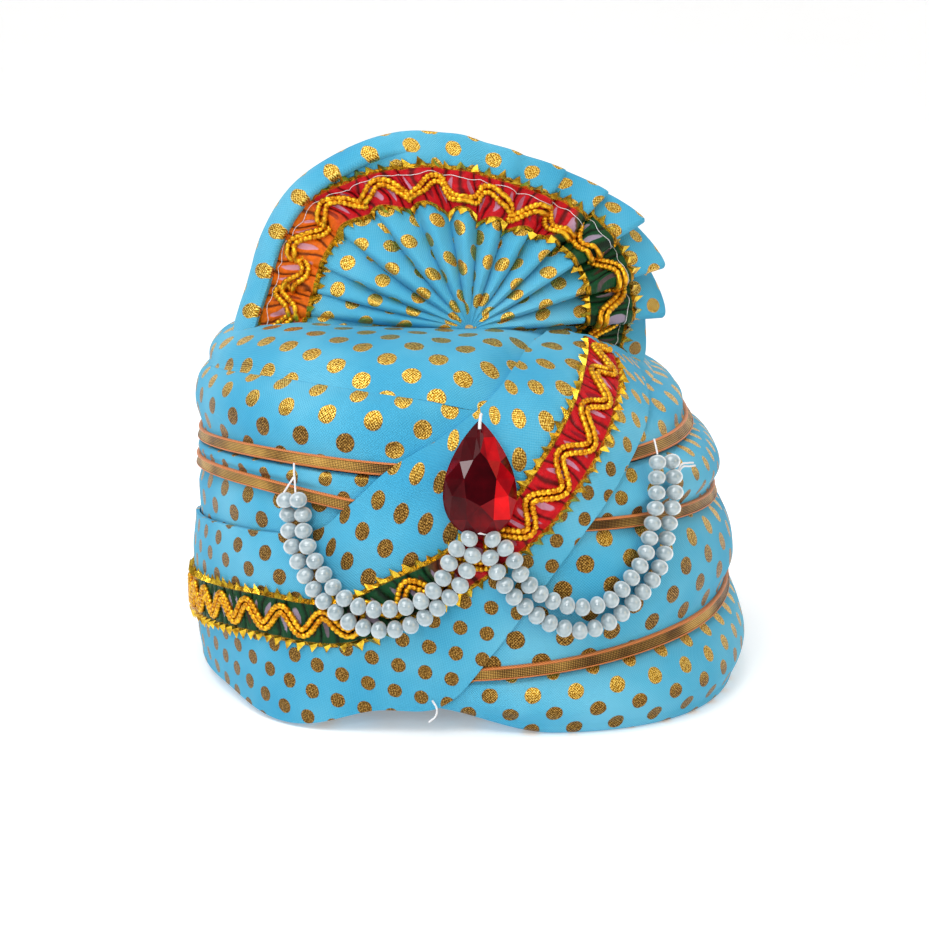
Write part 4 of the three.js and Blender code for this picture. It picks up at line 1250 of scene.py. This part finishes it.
def lace_trim(node, place, start, end, half, look, wave_size, stitched):
    """A woven strip with two gimp cords and perhaps a stitching thread, and the foil points along its
    edges."""
    name = node + "_trim"
    grids = strip_grids(*lace_strip(place, start, end, half))
    for side in (-1, 1):
        grids.append((*gimp_cord(place, start + 0.5, end - 0.5, side, *wave_size), 1))
    if stitched:
        grids.append((*stitch_line(place, start + 1, end - 1, 0.62 * half), 2))
    strip = dress(place_grids(name, grids, [look, gimp_look, thread_look]), node)
    foil = place_faces(name + "_foil", *foil_points(place, start, end, half), [foil_look], {})
    return [strip, foil]


def gilt_band(index, node):
    """A gilt ribbon in place of the plain one."""
    piece = place_grids(node + "_mesh", strip_grids(*ribbon_strip(index)), [ribbon_look])
    dress(piece, node)


def cut_stone():
    """A pear cut: table, stars, kites and girdle facets over a flat back, each face with its own depth of
    red, which is painted light: painted glints to the lower and upper right, painted shade on the table."""
    corners = 2 * np.pi * np.arange(STONE_SIDES) / STONE_SIDES
    steps = STONE_SIDES * GIRDLE_STEPS
    fine = 2 * np.pi * np.arange(steps) / steps
    height = STONE_SIZE[2]
    rings = [
        stone_ring(0.46, height, corners[::2]),
        stone_ring(0.76, 0.72 * height, corners[1::2]),
        stone_ring(1.0, STONE_GIRDLE, fine),
        stone_ring(0.96, 0.0, fine),
    ]
    kites = STONE_SIDES // 2
    table = np.arange(kites)
    star = table + kites
    girdle = np.arange(steps) + 2 * kites
    back = girdle + steps
    faces = [list(table[::-1])]
    for k in range(kites):
        corner = 2 * k * GIRDLE_STEPS
        faces.append([table[k], star[k], table[(k + 1) % kites]])
        faces.append([table[k], star[k - 1], girdle[corner], star[k]])
        for first in (corner, corner + GIRDLE_STEPS):
            edge = np.arange(first, first + GIRDLE_STEPS + 1) % steps
            faces.append([star[k], *girdle[edge]])
    for k in range(steps):
        after = (k + 1) % steps
        faces.append([girdle[k], back[k], back[after], girdle[after]])
    faces.append(list(back))
    rows = np.concatenate(rings)
    middles = np.array([rows[face].mean(0) for face in faces])
    x, y, _ = middles.T
    # Painted light: a dark red ground, painted glints at the lower and upper right and painted shade on
    # the table.
    red_and_painted_light = 0.26 + 0.07 * np.sin(9.0 * x + 5.0 * y)
    red_and_painted_light += 0.72 * np.exp(-((x - 6.0) ** 2) / 9 - (y + 6.0) ** 2 / 40)
    red_and_painted_light += 0.5 * np.exp(-((x - 3.4) ** 2) / 7 - (y - 6.5) ** 2 / 22)
    red_and_painted_light[0] = 0.13
    # Painted reflection: one face near the upper left holds a painted grey window.
    painted_grey_reflection = np.zeros(len(faces))
    painted_grey_reflection[np.argmin(np.hypot(x + 3.4, y - 5.5))] = 1.0
    place, axes = stone_frame()
    tones = {"red_and_painted_light": red_and_painted_light, "painted_grey_reflection": painted_grey_reflection}
    piece = place_faces("stone_cut", place + rows @ axes, faces, [cut_glass("ruby_glass")], tones)
    dress(piece, "stone")


def pearl_string(node, route):
    """A strand of beads in place of the plain one."""
    dress(place_grids(node + "_beads", [(*pearl_beads(route), 0)], [pearl_look]), node)


def sewing_threads():
    """Ends of the sewing thread at the stone, at the strands' outer ends and at the sash's lower edge."""
    place, axes = stone_frame()
    loop = [[0.4, 17.0, 0.6], [0.2, 16.2, 2.3], [0.0, 14.8, 3.4], [-0.1, 13.0, 4.0]]
    top = place + np.array(loop) @ axes
    foot = place + np.array([[0.2, -14.6, 2.0]]) @ axes
    left, left_low, right, right_low = (strand_line(route) for route in STRANDS.values())
    knot = right_low[-10:-9]
    # Where each loose end starts, and the angles, girths and lifts along it
    ends = [
        (left[-1:], [-29.2, -29.6, -30.0], [69.6, 71.4, 74.6], [3.2, 2.8, 2.6]),
        (left_low[-1:], [-29.6], [70.8], [2.9]),
        (right[-1:], [34.4, 34.7], [75.6, 77.8], [5.6, 5.4]),
        (knot, [39.4, 42.0, 44.6], [70.0, 69.9, 69.3], [6.4, 6.6, 6.0]),
        (knot, [39.6, 42.4, 45.4], [69.4, 69.0, 68.4], [6.4, 6.4, 5.8]),
        (knot[:0], [-5.8, -5.0, -5.2, -6.4], [10.6, 8.4, 6.2, 4.4], [2.9, 3.4, 3.6, 3.8]),
    ]
    loose = [np.concatenate([left[:1], foot, right[:1]])]
    loose += [np.concatenate([start, on_cap(*places)]) for start, *places in ends]
    grids = []
    for route, radius in [(top, 0.42), *((route, 0.28) for route in loose)]:
        at = np.linspace(0, len(route) - 1, THREAD_STEPS)
        line = by_row(route, at)
        radii = np.full(THREAD_STEPS, radius)
        grids.append((*tube(line, line + [0.3, -1.0, 0.4], radii, 8, at), 0))
    piece = place_grids("sewing_threads", grids, [thread_look])


for number, roll in enumerate(ROLL_NAMES):
    padded_cloth(roll, roll_ring(number))
padded_cloth("crown", crown_dome())
sash = sash_cloth()
fan = fan_cloth()

# The laces' colours at angles along them, blended from each to the next
sash_zones = {-66: YELLOW, -58: GREEN, -5: GREEN, 0: RED}
sash_stops = {sash_lace_share(angle): colour for angle, colour in sash_zones.items()}
sash_stops = {0.0: ORANGE, **sash_stops, 1.0: RED}
sash_satin = lace_weave("sash_lace_satin", sash_stops, SASH_LACE_LENGTH, LACE_HALF)
fan_zones = {-54: ORANGE, -49: RED, 43: RED, 45: GREEN}
fan_stops = {fan_lace_share(angle): colour for angle, colour in fan_zones.items()}
fan_stops = {0.0: ORANGE, **fan_stops, 1.0: GREEN}
fan_satin = lace_weave("fan_lace_satin", fan_stops, FAN_LACE_LENGTH, FAN_LACE_HALF)
sash_trim = lace_trim(
    "sash_lace", on_sash_lace, 0.0, SASH_LACE_LENGTH, LACE_HALF, sash_satin, (9.0, 15.0, 2.8, 0.0), False,
)
fan_trim = lace_trim(
    "fan_lace", on_fan_lace, 1.0, FAN_LACE_LENGTH - 1.0, FAN_LACE_HALF, fan_satin,
    (16.0, 17.0, 3.2, -0.03), True,
)
half_area(sash)
half_area(fan)

for number, ribbon in enumerate(("lower_ribbon", "middle_ribbon", "upper_ribbon")):
    gilt_band(number, ribbon)
cut_stone()
for strand, strand_route in STRANDS.items():
    pearl_string(strand, strand_route)
sewing_threads()


# STUDIO

def look_along(direction):
    """The turn that points a camera or a lamp along a direction with its top upwards."""
    return Vector(direction).to_track_quat("-Z", "Y")


def backdrop():
    """A pale sheet: flat in front, turned up through a quarter circle behind, and upright above it."""
    turn = np.linspace(0, np.pi / 2, 24)
    deep = np.concatenate([[-6.0], 1.6 + 0.9 * np.sin(turn), [2.5]])
    rise = np.concatenate([[0.0], 0.9 * (1 - np.cos(turn)), [4.0]])
    points = np.stack([np.stack([np.full_like(deep, x), deep, rise], -1) for x in (-5.0, 5.0)])
    mesh = bpy.data.meshes.new("backdrop")
    mesh.from_pydata(points.reshape(-1, 3).tolist(), [], grid_quads(*points.shape[:2]).tolist())
    n = Nodes("pale_backdrop")
    cloud = n.noise(n.place(), 3.0, 2.0)
    paper = n.blend(cloud, (0.90, 0.90, 0.90, 1.0), (0.93, 0.93, 0.93, 1.0))
    mesh.materials.append(
        n.finish(Base_Color=paper, Roughness=0.9, Emission_Color=paper, Emission_Strength=0.3)
    )
    sheet = bpy.data.objects.new("backdrop", mesh)
    bpy.context.scene.collection.objects.link(sheet)


def room():
    """A room that is bright overhead and dim at eye level."""
    world = bpy.data.worlds.new("room")
    world.use_nodes = True
    tree = world.node_tree
    place = tree.nodes.new("ShaderNodeTexCoord")
    split = tree.nodes.new("ShaderNodeSeparateXYZ")
    ramp = tree.nodes.new("ShaderNodeValToRGB")
    ramp.color_ramp.elements[0].position = 0.05
    ramp.color_ramp.elements[0].color = (0.15, 0.155, 0.16, 1.0)
    ramp.color_ramp.elements[1].position = 0.75
    ramp.color_ramp.elements[1].color = (0.85, 0.85, 0.85, 1.0)
    tree.links.new(place.outputs["Generated"], split.inputs[0])
    tree.links.new(split.outputs[2], ramp.inputs[0])
    tree.links.new(ramp.outputs[0], tree.nodes["Background"].inputs["Color"])
    bpy.context.scene.world = world


def lamps():
    """A large soft light overhead, a small one at the front left that the beads mirror, and a warm one
    from the right."""
    for name, place, power, width, tint in (
        ("overhead", (-0.35, -0.5, 1.05), 6.8, 0.9, (1.0, 1.0, 1.0)),
        ("front_left", (-0.5, -1.35, 0.65), 3.4, 0.3, (1.0, 1.0, 1.0)),
        ("front_right", (1.2, -1.0, 0.5), 3.6, 0.8, (1.0, 0.74, 0.36)),
    ):
        light = bpy.data.lights.new(name, "AREA")
        light.energy = power
        light.size = width
        light.color = tint
        lamp = bpy.data.objects.new(name, light)
        lamp.location = place
        lamp.rotation_mode = "QUATERNION"
        lamp.rotation_quaternion = look_along(np.array([0.0, 0.0, 0.07]) - np.array(place))
        bpy.context.scene.collection.objects.link(lamp)


def camera():
    """The photograph's view: straight at the front from a little above, with a long lens."""
    target = np.array([-1.05, 4.44, 54.8]) * MM
    rise = math.radians(12.0)
    distance = 650.0 * MM
    film = 36.0
    focal_share = 2086.0 / 936.0
    back = np.array([0.0, -math.cos(rise), math.sin(rise)])
    lens = bpy.data.cameras.new("camera")
    lens.sensor_width = film
    lens.lens = film * focal_share
    lens.clip_start = 0.01
    eye = bpy.data.objects.new("camera", lens)
    eye.location = target + distance * back
    eye.rotation_mode = "QUATERNION"
    eye.rotation_quaternion = look_along(-back)
    bpy.context.scene.collection.objects.link(eye)
    bpy.context.scene.camera = eye


backdrop()
room()
lamps()
camera()
bpy.context.scene.view_settings.view_transform = "Standard"
